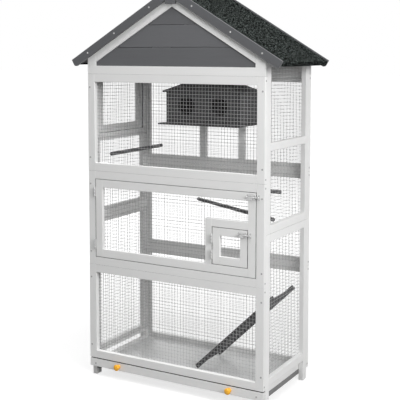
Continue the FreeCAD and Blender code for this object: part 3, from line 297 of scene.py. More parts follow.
def solids(node):
    """Each closed solid of a CAD node, as corner points and the triangles between them."""
    mesh = frame["nodes"][node].data
    found, points, keys, faces, open_edges = [], [], {}, [], set()
    for polygon in mesh.polygons:
        face = []
        for vertex in polygon.vertices:
            spot = mesh.vertices[vertex].co
            key = tuple(round(value * POINT_GRID) for value in spot)
            if key not in keys:
                keys[key] = len(points)
                points.append(spot.copy())
            face.append(keys[key])
        if len(set(face)) < 3:
            continue
        faces.append(face)
        for start, end in zip(face, face[1:] + face[:1]):
            if (end, start) in open_edges:
                open_edges.remove((end, start))
            else:
                open_edges.add((start, end))
        if not open_edges:
            found.append((points, faces))
            points, keys, faces = [], {}, []
    if faces:
        found.append((points, faces))
    return found


def span(node):
    """The lowest and highest corners of each solid of a node, in metres."""
    return [
        (Vector(map(min, zip(*points))), Vector(map(max, zip(*points)))) for points, faces in solids(node)
    ]


def thinnest(size):
    """The axis along which a box is thinnest."""
    return min(range(3), key=lambda axis: size[axis])


def along_axis(axis, length):
    """A vector along one axis."""
    way = Vector((0, 0, 0))
    way[axis] = length
    return way


# Pieces

UP = Vector((0, 0, 1))
RIGHT = Vector((1, 0, 0))
BACK = Vector((0, 1, 0))
dice = random.Random(4107)
GRAIN_SHIFT = 3
END_SLOPE = 0.8
UPRIGHT_SLOPE = 0.9
GAP_SHADE_SLOPE = 0.6
GAP_SHADE_REACH = 4.2 * MM
DOOR_BOXES = [
    [Vector(corner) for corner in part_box(name)]
    for name in ("main_door_frame", "small_door_frame", "side_door_frame", "tray_front")
]


def beside_door(middle, normal):
    """Whether a face lies in the narrow gap around a door, where shade is painted."""
    for low, high in DOOR_BOXES:
        if not all(low[axis] - GAP_SHADE_REACH < middle[axis] < high[axis] + GAP_SHADE_REACH for axis in range(3)):
            continue
        thin = thinnest(high - low)
        for axis in range(3):
            if axis == thin or abs(normal[axis]) < GAP_SHADE_SLOPE:
                continue
            if min(abs(middle[axis] - low[axis]), abs(middle[axis] - high[axis])) < GAP_SHADE_REACH:
                return True
    return False


SEAM_REACH = 0.32 * MM
SEAM_SLOPES = (0.6, 0.97)
SEAM_HEIGHTS = [
    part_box(name)[1][2]
    for name in ("front_lower_frame", "front_middle_frame", "front_upper_frame", "left_lower_frame")
]


def in_seam(middle, normal):
    """Whether a face is the deeper half of an eased edge between two stacked panels, where shade is
    painted.
    """
    if not SEAM_SLOPES[0] < abs(normal.z) < SEAM_SLOPES[1]:
        return False
    return any(abs(middle.z - height) < SEAM_REACH for height in SEAM_HEIGHTS)


class Shape:
    """Points and faces of one piece as it grows, with the grain of each member."""

    def __init__(self):
        self.points, self.faces, self.smooth = [], [], []
        self.grain, self.tone, self.ends, self.painted_shade_mask = [], [], [], []

    def add(self, points, faces, smooth, axis=None):
        """Add a member. A smooth value is one flag, or one flag for each face."""
        first = len(self.points)
        axis = axis or longest_edge(points, faces)
        side = axis.cross(UP if abs(axis.z) < UPRIGHT_SLOPE else RIGHT).normalized()
        rise = axis.cross(side)
        shift = Vector([dice.uniform(0, GRAIN_SHIFT) for way in "xyz"])
        tone = dice.uniform(-1, 1)
        for point in points:
            self.points.append(point)
            self.grain.append(Vector((point.dot(axis), point.dot(side), point.dot(rise))) + shift)
            self.tone.append(tone)
        for index, face in enumerate(faces):
            self.faces.append([first + corner for corner in face])
            self.smooth.append(smooth if isinstance(smooth, bool) else smooth[index])
            normal = face_normal(points, face)
            self.ends.append(1.0 if abs(normal.dot(axis)) > END_SLOPE else 0.0)
            middle = sum((points[corner] for corner in face), Vector()) / len(face)
            # Faces in a door's gap or in a seam between panels are marked for painted shade
            self.painted_shade_mask.append(1.0 if beside_door(middle, normal) or in_seam(middle, normal) else 0.0)

    def join(self, other):
        """Take over another shape's members."""
        first = len(self.points)
        self.faces += [[first + corner for corner in face] for face in other.faces]
        for own, taken in zip(self.parts(), other.parts()):
            own += taken

    def parts(self):
        """The lists that hold a value for each point or face."""
        return self.points, self.smooth, self.grain, self.tone, self.ends, self.painted_shade_mask

    def finish(self, name, material, body, replaced=()):
        """Make the object, and let it ride on its body."""
        mesh = bpy.data.meshes.new(name)
        mesh.from_pydata(self.points, [], self.faces)
        mesh.materials.append(material)
        mesh.polygons.foreach_set("use_smooth", self.smooth)
        flat = [value for vector in self.grain for value in vector]
        mesh.attributes.new("grain", "FLOAT_VECTOR", "POINT").data.foreach_set("vector", flat)
        mesh.attributes.new("tone", "FLOAT", "POINT").data.foreach_set("value", self.tone)
        mesh.attributes.new("ends", "FLOAT", "FACE").data.foreach_set("value", self.ends)
        mesh.attributes.new("painted_shade_mask", "FLOAT", "FACE").data.foreach_set("value", self.painted_shade_mask)
        mesh.update()
        obj = bpy.data.objects.new(name, mesh)
        bpy.context.scene.collection.objects.link(obj)
        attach(obj, body)
        if replaced:
            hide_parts(*replaced)
        return obj


def face_normal(points, face):
    """The unit normal of a face."""
    total = Vector()
    for start, end in zip(face[1:-1], face[2:]):
        total += (points[start] - points[face[0]]).cross(points[end] - points[face[0]])
    return total.normalized()


def longest_edge(points, faces):
    """The direction of the longest edge."""
    best = Vector()
    for face in faces:
        for start, end in zip(face, face[1:] + face[:1]):
            edge = points[end] - points[start]
            if edge.length > best.length:
                best = edge
    return best.normalized()


FLAT_ANGLE = math.radians(1)
SHARP_ANGLE = math.radians(32)


def eased(points, faces, ease, cuts=()):
    """A solid with its flat triangles joined, cut at planes, and its sharp edges rounded over."""
    bm = bmesh.new()
    corners = [bm.verts.new(point) for point in points]
    for face in faces:
        bm.faces.new([corners[index] for index in face])
    bmesh.ops.dissolve_limit(bm, angle_limit=FLAT_ANGLE, verts=bm.verts, edges=bm.edges)
    for spot, normal in cuts:
        everything = list(bm.verts) + list(bm.edges) + list(bm.faces)
        bmesh.ops.bisect_plane(bm, geom=everything, dist=1e-6, plane_co=spot, plane_no=normal)
    curved = set()
    sharp = []
    for edge in bm.edges:
        angle = edge.calc_face_angle(0)
        if angle > SHARP_ANGLE:
            sharp.append(edge)
        elif angle > FLAT_ANGLE:
            curved.update(edge.link_faces)
    for face in bm.faces:
        face.smooth = face in curved
    if ease:
        made = bmesh.ops.bevel(
            bm, geom=sharp, offset=ease * MM, segments=2, profile=0.5, affect="EDGES", clamp_overlap=True
        )
        for face in made["faces"]:
            face.smooth = True
    bm.verts.index_update()
    result = (
        [vertex.co.copy() for vertex in bm.verts],
        [[vertex.index for vertex in face.verts] for face in bm.faces],
        [face.smooth for face in bm.faces],
    )
    bm.free()
    return result


def board(loops, depth):
    """A flat board along Y from its outline and the outlines of its holes."""
    flat = [point for loop in loops for point in loop]
    count = len(flat)
    points = flat + [point + Vector((0, depth, 0)) for point in flat]
    faces = []
    for face in geometry.tessellate_polygon(loops):
        if face_normal(points, list(face)).y > 0:
            face = face[::-1]
        faces += [list(face), [count + index for index in reversed(face)]]
    first = 0
    for number, loop in enumerate(loops):
        ring = list(range(first, first + len(loop)))
        if (face_normal(points, ring).y < 0) == (number > 0):
            ring.reverse()
        for near, after in zip(ring, ring[1:] + ring[:1]):
            faces.append([after, near, near + count, after + count])
        first += len(loop)
    return points, faces


def door_cuts():
    """Planes just outside each door, so that the shade painted in a door's gap ends with the door on a
    longer member.
    """
    cuts = []
    for low, high in DOOR_BOXES:
        thin = thinnest(high - low)
        for axis in range(3):
            if axis != thin:
                normal = along_axis(axis, 1)
                cuts += [(low - normal * GAP_SHADE_REACH, normal), (high + normal * GAP_SHADE_REACH, normal)]
    return cuts


def dress(node, material, ease):
    """A CAD node again, with eased edges and the grain of each member."""
    shape = Shape()
    for points, faces in solids(node):
        axis = longest_edge(*eased(points, faces, 0)[:2])
        cuts = door_cuts() if node.endswith("_frame") else ()
        shape.add(*eased(points, faces, ease, cuts), axis)
    return shape.finish(node + "_detail", material, BODY_OF[node], [node])


def circle(count):
    """Cosines and sines around a circle."""
    return [(math.cos(math.tau * step / count), math.sin(math.tau * step / count)) for step in range(count)]


# Where a bar's end is rounded: shares of the cap's length and of the bar's radius
CAP_SHARES = ((0.0, 0.8), (0.3, 0.94), (1.0, 1.0))


def tube(shape, path, radius, sides, ref, cap=0.0):
    """A round bar along a path. A cap is the length over which its ends are rounded."""
    path = [Vector(point) for point in path]
    radii = [radius] * len(path)
    if cap:
        start = (path[1] - path[0]).normalized() * cap
        end = (path[-2] - path[-1]).normalized() * cap
        head = [path[0] + start * share for share, reach in CAP_SHARES]
        tail = [path[-1] + end * share for share, reach in CAP_SHARES]
        path = head + path[1:-1] + tail[::-1]
        worn = [radius * reach for share, reach in CAP_SHARES]
        radii = worn + radii[1:-1] + worn[::-1]
    points, faces = [], []
    ring = circle(sides)
    for index, point in enumerate(path):
        before = path[index] - path[index - 1] if index else path[1] - path[0]
        after = path[index + 1] - path[index] if index + 1 < len(path) else before
        tangent = (before.normalized() + after.normalized()).normalized()
        side = tangent.cross(ref).normalized()
        rise = side.cross(tangent)
        points += [point + (side * across + rise * up) * radii[index] for across, up in ring]
    for index in range(len(path) - 1):
        for step in range(sides):
            low, high = index * sides + step, index * sides + (step + 1) % sides
            faces.append([low, low + sides, high + sides, high])
    last = (len(path) - 1) * sides
    faces += [list(range(sides)), [last + step for step in reversed(range(sides))]]
    smooth = [True] * (len(faces) - 2) + [False, False]
    shape.add(points, faces, smooth, (path[-1] - path[0]).normalized())


def lathe(shape, centre, axis, profile, sides, dent=None, hollow=False):
    """A turned form: (height, radius) pairs along an axis, closed at both ends or joined as a ring."""
    ref = UP if abs(axis.z) < UPRIGHT_SLOPE else RIGHT
    side = axis.cross(ref).normalized()
    rise = side.cross(axis)
    points, faces = [], []
    for height, radius in profile:
        for across, up in circle(sides):
            sunk = dent(across * radius, up * radius) if dent else 0
            points.append(centre + (axis * (height - sunk) + (side * across + rise * up) * radius) * MM)
    for index in range(len(profile) - 1):
        for step in range(sides):
            low, high = index * sides + step, index * sides + (step + 1) % sides
            faces.append([low, low + sides, high + sides, high])
    last = (len(profile) - 1) * sides
    if hollow:
        for step in range(sides):
            after = (step + 1) % sides
            faces.append([last + step, step, after, last + after])
    else:
        faces += [list(range(sides)), [last + step for step in reversed(range(sides))]]
    shape.add(points, faces, True, side)


# Timber

for nodes, material, ease in (
    (
        "front_lower_frame front_middle_frame front_upper_frame front_gable_frame back_lower_frame "
        "back_middle_frame back_upper_frame back_gable_frame left_lower_frame left_upper_frame "
        "right_lower_frame right_upper_frame nest_box_posts eave_battens main_door_frame "
        "small_door_frame side_door_frame tray_front",
        WHITE,
        1.0,
    ),
    ("tray_walls", WHITE, 0.6),
    ("tray_floor", TRAY, 0.5),
    ("front_gable_boards back_gable_boards", DARK, 1.6),
    ("roof_fascias apex_blocks", FASCIA, 1.2),
    ("nest_base nest_roof", NEST, 0.6),
    ("ladder_rails", RAILS, 0.8),
    ("tray_runners", RUNNER, 0.8),
    ("roof_boards", ROOF_BOARD_SHADE, 0.3),
):
    for node in nodes.split():
        dress(node, material, ease)


# The nest box with its two entry holes

NEST_EASE = 0.6
ENTRY_RADIUS = 35.0
ENTRY_HEIGHT = 1035.0
ENTRY_OFFSET = 70.7
ENTRY_SIDES = 72
ENTRY_SLACK = 1.0
WALL_SLACK = 1.0 * MM

walls = Shape()
nest_parts = sorted(solids("nest_walls"), key=lambda part: len(part[0]))
for points, faces in nest_parts[:-1]:
    walls.add(*eased(points, faces, NEST_EASE), longest_edge(points, faces))
points, faces = nest_parts[-1]
depths = [point.y for point in points]
entries = [place(CAGE_MIDDLE.x + side * ENTRY_OFFSET, 0, ENTRY_HEIGHT) for side in (-1, 1)]
corners = []
for point in points:
    spans = [math.hypot(point.x - entry.x, point.z - entry.z) for entry in entries]
    if point.y < min(depths) + WALL_SLACK and min(spans) > (ENTRY_RADIUS + ENTRY_SLACK) * MM:
        corners.append(point)
hub = sum(corners, Vector()) / len(corners)
corners.sort(key=lambda point: math.atan2(point.z - hub.z, point.x - hub.x))
loops = [corners]
for entry in entries:
    loops.append([
        Vector((entry.x + across * ENTRY_RADIUS * MM, min(depths), entry.z + up * ENTRY_RADIUS * MM))
        for across, up in circle(ENTRY_SIDES)
    ])
walls.add(*eased(*board(loops, max(depths) - min(depths)), NEST_EASE), RIGHT)
# Painted shade: faces inside the box are marked and painted dark, as the deep shade of a closed box
low, high = (Vector(corner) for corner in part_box("nest_walls"))
for index, face in enumerate(walls.faces):
    middle = sum((walls.points[corner] for corner in face), Vector()) / len(face)
    if all(low[axis] + WALL_SLACK < middle[axis] < high[axis] - WALL_SLACK for axis in (0, 1)):
        walls.painted_shade_mask[index] = 1.0
walls.finish("nest_walls_detail", NEST, "cage", ["nest_walls"])


# Perches and rungs

DOWEL_SIDES = 24
DOWEL_STEPS = 12
DOWEL_CAP = 1.2


def level_dowel(shape, low, high, radius):
    """A round bar along the longest side of a box."""
    size = high - low
    axis = max(range(3), key=lambda index: size[index])
    centre = (low + high) / 2
    path = []
    for step in range(DOWEL_STEPS + 1):
        point = centre.copy()
        point[axis] = low[axis] + size[axis] * step / DOWEL_STEPS
        path.append(point)
    tube(shape, path, radius * MM, DOWEL_SIDES, UP, DOWEL_CAP * MM)


PERCH_RADIUS = 7.0
RUNG_RADIUS = 4.0
SLANT_HEIGHT = 652.0
SLANT_PATH = ((713.5, 120.6), (487.8, 247.8), (262.5, 374.9))
perches = Shape()
boxes = sorted(span("perches"), key=lambda pair: pair[0].z)
level_dowel(perches, *boxes[1], PERCH_RADIUS)
level_dowel(perches, *boxes[2], PERCH_RADIUS)
slant = [place(x, y, SLANT_HEIGHT) for x, y in SLANT_PATH]
tube(perches, slant, PERCH_RADIUS * MM, DOWEL_SIDES, UP, DOWEL_CAP * MM)
perches.finish("perches_detail", RAILS, "cage", ["perches"])
rungs = Shape()
for low, high in span("ladder_rungs"):
    level_dowel(rungs, low, high, RUNG_RADIUS)
rungs.finish("ladder_rungs_detail", RAILS, "cage", ["ladder_rungs"])


# Welded wire mesh: square 12.7 mm pitch, the cut ends standing past the outer wires

PITCH = 12.7
WIRE_RADIUS = 0.56
WIRE_LAYER = 0.28
CUT_END = 3.0
WIRE_SIDES = 6
WIRE_WANDER = 0.12
SHEET_WANDER = 0.06


def mesh_sheet(shape, low, high, notch=None):
    """The wires of a flat sheet that fills a thin box, cut away past a notch's X and under its Z."""
    size = high - low
    thin = thinnest(size)
    flat = [index for index in range(3) if index != thin]
    middle = (low[thin] + high[thin]) / 2
    counts, starts = {}, {}
    for axis in flat:
        counts[axis] = int((size[axis] / MM - 2 * CUT_END) // PITCH) + 1
        starts[axis] = (low[axis] + high[axis]) / 2 - (counts[axis] - 1) * PITCH * MM / 2
    ref = along_axis(thin, 1)
    for layer, (along, across) in enumerate((flat, flat[::-1])):
        offset = WIRE_LAYER * MM * (1 if layer else -1)
        for index in range(counts[across]):
            path = []
            first = starts[along] - CUT_END * MM
            last = starts[along] + ((counts[along] - 1) * PITCH + CUT_END) * MM
            place_across = starts[across] + index * PITCH * MM
            if notch and along == 0 and place_across < notch.z:
                last = notch.x
            elif notch and along == 2 and place_across > notch.x:
                first = notch.z
            bends = [starts[along] + (2 * step + 0.5) * PITCH * MM for step in range(counts[along] // 2)]
            for station in [first] + [bend for bend in bends if first < bend < last] + [last]:
                point = along_axis(along, station)
                point[across] = starts[across] + (index * PITCH + dice.gauss(0, WIRE_WANDER)) * MM
                point[thin] = middle + offset + dice.gauss(0, SHEET_WANDER) * MM
                path.append(point)
            tube(shape, path, WIRE_RADIUS * MM, WIRE_SIDES, ref)


STAPLE_RADIUS = 0.4
STAPLE_SIDES = 5
STAPLE_WIDTH = 10.0
STAPLE_LEG = 2.4
STAPLE_STEP = 75.0
STAPLE_INSET = 8.0
STAPLE_STRAY = 2.0
STAPLE_SHIFT = 0.8
STAPLE_SLANT = 0.5
STAPLE_SHOULDER = (0.97, 0.05)


def over_timber(spot, members, thin):
    """Whether a place on a sheet has a timber member behind it."""
    flat = [axis for axis in range(3) if axis != thin]
    return any(
        all(low[axis] < spot[axis] < high[axis] for axis in flat)
        and low[thin] - STAPLE_LEG * MM < spot[thin] < high[thin] + STAPLE_LEG * MM
        for low, high in members
    )


def staples(shape, low, high, outward, members):
    """Staples over the outer wires, driven into the member behind the sheet."""
    size = high - low
    thin = thinnest(size)
    flat = [index for index in range(3) if index != thin]
    leg = along_axis(thin, -outward * STAPLE_LEG * MM)
    width_share, leg_share = STAPLE_SHOULDER
    crown = (high[thin] if outward > 0 else low[thin]) + outward * STAPLE_RADIUS * MM
    for along, across in (flat, flat[::-1]):
        count = max(2, round(size[along] / MM / STAPLE_STEP))
        for edge in (low[across] + STAPLE_INSET * MM, high[across] - STAPLE_INSET * MM):
            for index in range(count):
                middle = along_axis(thin, crown)
                stray = dice.gauss(0, STAPLE_STRAY) * MM
                middle[along] = low[along] + size[along] * (index + 0.5) / count + stray
                middle[across] = edge + dice.gauss(0, STAPLE_SHIFT) * MM
                half = along_axis(along, STAPLE_WIDTH / 2 * MM)
                half[across] = dice.gauss(0, STAPLE_SLANT) * MM
                if not all(over_timber(middle + half * end, members, thin) for end in (-1, 1)):
                    continue
                left = middle - half * width_share - leg * leg_share
                right = middle + half * width_share - leg * leg_share
                path = [middle - half + leg, left, right, middle + half + leg]
                tube(shape, path, STAPLE_RADIUS * MM, STAPLE_SIDES, along_axis(across, 1))


for body in ("cage", "main_door", "small_door", "side_door"):
    fixings = Shape()
    own = [node for node in frame["nodes"] if BODY_OF[node] == body]
    nets = [node for node in own if node.endswith("_net")]
    members = [box for node in own if node.endswith(("_frame", "_posts")) for box in span(node)]
    for node in nets:
        for low, high in span(node):
            staples(fixings, low, high, 1 if low[thinnest(high - low)] < 0 else -1, members)
        if node.startswith("main_door"):
            continue
        sheets = Shape()
        for low, high in span(node):
            mesh_sheet(sheets, low, high)
        sheets.finish(node + "_wires", WIRE, body, [node])
    fixings.finish(body + "_staples", ZINC, body)

left_low, left_high = span("main_door_net")[0]
corner_low, corner_high = span("main_door_corner_net")[0]
door_sheet = Shape()
mesh_sheet(door_sheet, left_low, corner_high, Vector((left_high.x, left_high.y, corner_low.z)))
door_sheet.finish("main_door_net_wires", WIRE, "main_door", ["main_door_net", "main_door_corner_net"])


# Screws with pan heads and a cross recess

RECESS_SLOT = 0.3
RECESS_REACH = 0.62
RECESS_DEPTH = 0.55
HEAD_SIDES = 24
HEAD_RINGS = (
    (0, 1), (0.35, 1), (0.62, 0.93), (0.8, 0.8), (0.93, 0.6), (0.98, 0.45), (1, 0.3), (1, 0.15), (1, 0.02),
)
HEAD_RADIUS = 3.2
HEAD_HEIGHT = 1.2
FASCIA_FACE = 5.0


def cross_recess(reach, depth):
    """How far a point of a head sinks into its recess."""
    def sunk(across, up):
        near, far = sorted((abs(across), abs(up)))
        return depth if near < reach * RECESS_SLOT and far < reach else 0
    return sunk


def screw_head(shape, centre, axis, radius, height):
    """A domed head that stands on a face."""
    profile = [(height * rise, radius * reach) for rise, reach in HEAD_RINGS]
    recess = cross_recess(radius * RECESS_REACH, height * RECESS_DEPTH)
    lathe(shape, centre, axis, profile, HEAD_SIDES, dent=recess)


def cage_reach(axis):
    """How far the panels reach to the front or the back, in metres. At the sides it is out of reach."""
    front = -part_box("front_lower_frame")[0][1]
    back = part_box("back_lower_frame")[1][1]
    return front if axis.y < 0 else back if axis.y > 0 else 1.0


for node in ("frame_screws", "tray_screws"):
    heads, fascia_heads = Shape(), Shape()
    for low, high in span(node):
        size = high - low
        centre = (low + high) / 2
        thin = thinnest(size)
        axis = along_axis(thin, 1 if centre[thin] > 0 else -1)
        base = centre - axis * (size[thin] / 2)
        in_fascia = abs(base.y) > cage_reach(axis) + FASCIA_FACE * MM
        screw_head(fascia_heads if in_fascia else heads, base, axis, HEAD_RADIUS, HEAD_HEIGHT)
    heads.finish(node + "_detail", AGED, BODY_OF[node], [node])
    if fascia_heads.points:
        fascia_heads.finish("fascia_screws_detail", ZINC, BODY_OF[node])


# Tray knobs

KNOB_PROFILE = (
    (0, 8.0), (1.0, 8.3), (2.0, 8.0), (3.0, 7.1), (4.5, 6.2), (6.5, 5.6), (8.2, 5.7),
    (9.4, 6.8), (10.4, 8.6), (11.6, 10.3), (13.2, 11.5), (15.2, 12.0), (17.2, 11.7),
    (19.0, 10.7), (20.6, 8.9), (21.8, 6.6), (22.6, 4.0), (22.9, 1.6), (22.95, 0.1),
)
KNOB_HEIGHT = 54.5
KNOB_INSET = 131.5
KNOB_SIDES = 40
knobs = Shape()
for x in (KNOB_INSET, CAGE_WIDTH - KNOB_INSET):
    lathe(knobs, place(x, 0, KNOB_HEIGHT), -BACK, KNOB_PROFILE, KNOB_SIDES)
knobs.finish("tray_knobs_detail", KNOB, "tray", ["tray_knobs"])


# Sheet metal and turned metal in a fitting's own layout: X to its free end, Y into the timber, Z up

NO_TURN = ((1, 0, 0), (0, 1, 0), (0, 0, 1))
LEFT_TURN = ((0, -1, 0), (1, 0, 0), (0, 0, 1))


class Seat:
    """The place of a fitting on the cage, and the way that it is turned."""

    def __init__(self, x, y, z, turn):
        self.origin = place(x, y, z)
        self.axes = [Vector(axis) for axis in turn]

    def way(self, x, y, z):
        """A direction of the fitting's layout in the frame."""
        return self.axes[0] * x + self.axes[1] * y + self.axes[2] * z

    def at(self, x, y, z):
        """A point of the fitting's layout in the frame, in metres."""
        return self.origin + self.way(x, y, z) * MM


def prism(shape, seat, ring, push, ease):
    """A flat outline pushed along a direction, its edges eased."""
    count = len(ring)
    points = [seat.at(*point) for point in ring]
    points += [seat.at(*(Vector(point) + Vector(push))) for point in ring]
    faces = [list(range(count)), [count + index for index in reversed(range(count))]]
    for index in range(count):
        after = (index + 1) % count
        faces.append([after, index, index + count, after + count])
    if face_normal(points, faces[0]).dot(seat.way(*push)) > 0:
        faces = [face[::-1] for face in faces]
    shape.add(*eased(points, faces, ease), seat.way(*push).normalized())


def half_circle(x, middle, radius, side, steps=14):
    """Half a circle in front of a line, from one side of it to the other."""
    turns = [side * (math.pi / 2 - math.pi * step / steps) for step in range(steps + 1)]
    return [(x, middle - radius * math.cos(turn), radius * math.sin(turn)) for turn in turns]


def strap_ring(x, foot, middle, inner, outer):
    """The outline of a strap bent over a rod: two legs from the foot and a half circle."""
    ring = [(x, foot, -outer)] + half_circle(x, middle, outer, -1) + [(x, foot, outer)]
    return ring + [(x, foot, inner)] + half_circle(x, middle, inner, 1) + [(x, foot, -inner)]


def rounded_ring(x_range, z_range, y, radius, steps=5):
    """A flat rectangle with rounded corners."""
    near, far = x_range[0] + radius, x_range[1] - radius
    low, high = z_range[0] + radius, z_range[1] - radius
    ring = []
    for quarter, (x, z) in enumerate(((far, high), (near, high), (near, low), (far, low))):
        for step in range(steps + 1):
            turn = math.pi / 2 * (quarter + step / steps)
            ring.append((x + radius * math.cos(turn), y, z + radius * math.sin(turn)))
    return ring


# Barrel bolts: a plate with two straps, a rod with a hanging knob, and a keeper

ROD_LINE = -4.0
ROD_RADIUS = 2.5
ROD_TAIL = -36.5
ROD_TIP = 8.5
STEM_AT = -14.0
PLATE_RANGE = (-35.0, -3.0)
PLATE_HALF = 10.5
PLATE_THICKNESS = 1.0
STRAP_LENGTH = 4.5
STRAP_INNER = 3.0
STRAP_OUTER = 4.2
KEEPER_RANGE = (9.0, 15.0)
KEEPER_LINE = -3.7
KEEPER_INNER = 3.3
KEEPER_OUTER = 4.5
FLANGE_REACH = 9.2
FLANGE_THICKNESS = 0.9
METAL_EASE = 0.3
PLATE_SCREW = (1.9, 0.55)
KEEPER_SCREW = (1.6, 0.45)
PLATE_SCREW_INSET = (3.6, 3.1)
FLANGE_OVERLAP = 0.3
PLATE_CORNER = 2.0
FLANGE_CORNER = 1.0
ROD_SIDES = 28
STEM_SIDES = 24
ROD_END = ((0.0, 0.05), (0.0, 1.2), (0.15, 1.75), (0.5, 2.2), (1.1, 2.45), (1.8, ROD_RADIUS))
STEM_PROFILE = (
    (0, 1.5), (5.9, 1.5), (6.3, 1.75), (6.9, 2.2), (7.6, 2.5), (8.4, 2.6), (9.2, 2.5), (10.0, 2.15),
    (10.6, 1.6), (11.0, 0.9), (11.1, 0.05),
)


def bolt_plate(seat):
    """The plate, its two straps and four screws."""
    shape = Shape()
    flat = rounded_ring(PLATE_RANGE, (-PLATE_HALF, PLATE_HALF), 0, PLATE_CORNER)
    prism(shape, seat, flat, (0, -PLATE_THICKNESS, 0), METAL_EASE)
    for x in (PLATE_RANGE[0], PLATE_RANGE[1] - STRAP_LENGTH):
        ring = strap_ring(x, -PLATE_THICKNESS, ROD_LINE, STRAP_INNER, STRAP_OUTER)
        prism(shape, seat, ring, (STRAP_LENGTH, 0, 0), METAL_EASE)
    inset_x, inset_z = PLATE_SCREW_INSET
    for x in (PLATE_RANGE[0] + inset_x, PLATE_RANGE[1] - inset_x):
        for z in (-PLATE_HALF + inset_z, PLATE_HALF - inset_z):
            screw_head(shape, seat.at(x, -PLATE_THICKNESS, z), seat.way(0, -1, 0), *PLATE_SCREW)
    return shape


def bolt_rod(seat):
    """The sliding rod with rounded ends, and the knob that hangs from it."""
    shape = Shape()
    length = ROD_TIP - ROD_TAIL
    profile = list(ROD_END) + [(length - height, radius) for height, radius in ROD_END[::-1]]
    lathe(shape, seat.at(ROD_TAIL, ROD_LINE, 0), seat.way(1, 0, 0), profile, ROD_SIDES)
    lathe(shape, seat.at(STEM_AT, ROD_LINE, 0), seat.way(0, 0, -1), STEM_PROFILE, STEM_SIDES)
    return shape


def bolt_keeper(seat):
    """The keeper's strap, with a screwed flange above and below."""
    shape = Shape()
    low, high = KEEPER_RANGE
    ring = strap_ring(low, 0, KEEPER_LINE, KEEPER_INNER, KEEPER_OUTER)
    prism(shape, seat, ring, (high - low, 0, 0), METAL_EASE)
    for side in (-1, 1):
        reach = sorted((side * (KEEPER_OUTER - FLANGE_OVERLAP), side * FLANGE_REACH))
        flange = rounded_ring(KEEPER_RANGE, reach, 0, FLANGE_CORNER)
        prism(shape, seat, flange, (0, -FLANGE_THICKNESS, 0), METAL_EASE)
        spot = seat.at((low + high) / 2, -FLANGE_THICKNESS, side * (KEEPER_OUTER + FLANGE_REACH) / 2)
        screw_head(shape, spot, seat.way(0, -1, 0), *KEEPER_SCREW)
    return shape


BOLT_SEATS = {
    "main": Seat(703.0, 0, 746.0, NO_TURN),
    "small": Seat(671.0, 0, 612.0, NO_TURN),
    "side": Seat(0, 50.0, 1077.0, LEFT_TURN),
}
for stem, seat in BOLT_SEATS.items():
    for ending, make in (("plate", bolt_plate), ("rod", bolt_rod), ("keeper", bolt_keeper)):
        node = f"{stem}_bolt_{ending}"
        make(seat).finish(node + "_detail", ZINC, BODY_OF[node], [node])


# Butt hinges: leaves in the gap beside the door, knuckles and pin in front of it

KNUCKLE_RADIUS = 3.0
PIN_RADIUS = 1.3
PIN_HEAD = 2.1
BORE_RADIUS = 1.45
KNUCKLE_GAP = 0.3
KNUCKLE_EDGE = 0.25
LEAF_NEAR = 0.2
LEAF_FAR = 1.0
LEAF_START = 3.4
LEAF_END = 18.5
LEAF_ROOT = 2.6
LEAF_EASE = 0.12
KNUCKLE_SIDES = 28
PIN_SIDES = 20
PIN_STAND = 0.8
LEAF_SCREW = (2.0, 0.12)
LEAF_SCREW_DEPTHS = (7.5, 14.0)
LEAF_SCREW_SHARES = (0.2, 0.8)


def knuckle(shape, seat, low, high):
    """A rolled knuckle with its bore."""
    profile = (
        (low, BORE_RADIUS),
        (low, KNUCKLE_RADIUS - KNUCKLE_EDGE),
        (low + KNUCKLE_EDGE, KNUCKLE_RADIUS),
        (high - KNUCKLE_EDGE, KNUCKLE_RADIUS),
        (high, KNUCKLE_RADIUS - KNUCKLE_EDGE),
        (high, BORE_RADIUS),
    )
    lathe(shape, seat.at(0, 0, 0), seat.way(0, 0, 1), profile, KNUCKLE_SIDES, hollow=True)


def hinge_leaf(seat, height, side, spans):
    """A leaf at one side of the gap, with a tab and a knuckle at each span."""
    shape = Shape()
    near, far = side * LEAF_NEAR, side * LEAF_FAR

    def flat(start, end, low, high):
        """A rectangle in the leaf's plane."""
        return [(near, start, low), (near, end, low), (near, end, high), (near, start, high)]

    prism(shape, seat, flat(LEAF_START, LEAF_END, 0, height), (far - near, 0, 0), LEAF_EASE)
    for low, high in spans:
        prism(shape, seat, flat(LEAF_ROOT, LEAF_START, low, high), (far - near, 0, 0), 0)
        knuckle(shape, seat, low, high)
    for share in LEAF_SCREW_SHARES:
        for depth in LEAF_SCREW_DEPTHS:
            screw_head(shape, seat.at(near, depth, share * height), seat.way(-side, 0, 0), *LEAF_SCREW)
    return shape


def hinge_pin(shape, seat, height):
    """The pin, with a low domed head at each end."""
    head = [(0.0, 0.05), (0.0, PIN_HEAD - 0.5), (0.35, PIN_HEAD - 0.1), (0.6, PIN_HEAD)]
    head += [(PIN_STAND, PIN_HEAD), (PIN_STAND, PIN_RADIUS)]
    profile = [(rise - PIN_STAND, radius) for rise, radius in head]
    profile += [(height - rise, radius) for rise, radius in profile[::-1]]
    lathe(shape, seat.at(0, 0, 0), seat.way(0, 0, 1), profile, PIN_SIDES)


HINGES = {
    "main": (35.0, [Seat(31.0, -6.5, z, NO_TURN) for z in (498.0, 696.0)]),
    "small": (32.0, [Seat(533.0, -6.5, z, NO_TURN) for z in (515.5, 573.0)]),
    "side": (35.0, [Seat(-6.5, 346.0, z, LEFT_TURN) for z in (967.5, 1116.0)]),
}
for stem, (height, seats) in HINGES.items():
    third = height / 3
    outer = ((0, third - KNUCKLE_GAP), (2 * third + KNUCKLE_GAP, height))
    for ending, side, spans in (("fixed", -1, outer), ("door", 1, ((third, 2 * third),))):
        node = f"{stem}_hinge_{ending}_leaves"
        leaves = Shape()
        for seat in seats:
            leaves.join(hinge_leaf(seat, height, side, spans))
            if ending == "fixed":
                hinge_pin(leaves, seat, height)
        leaves.finish(node + "_detail", DULL, BODY_OF[node], [node])


# Roofing felt over both slopes, turned down over the eaves

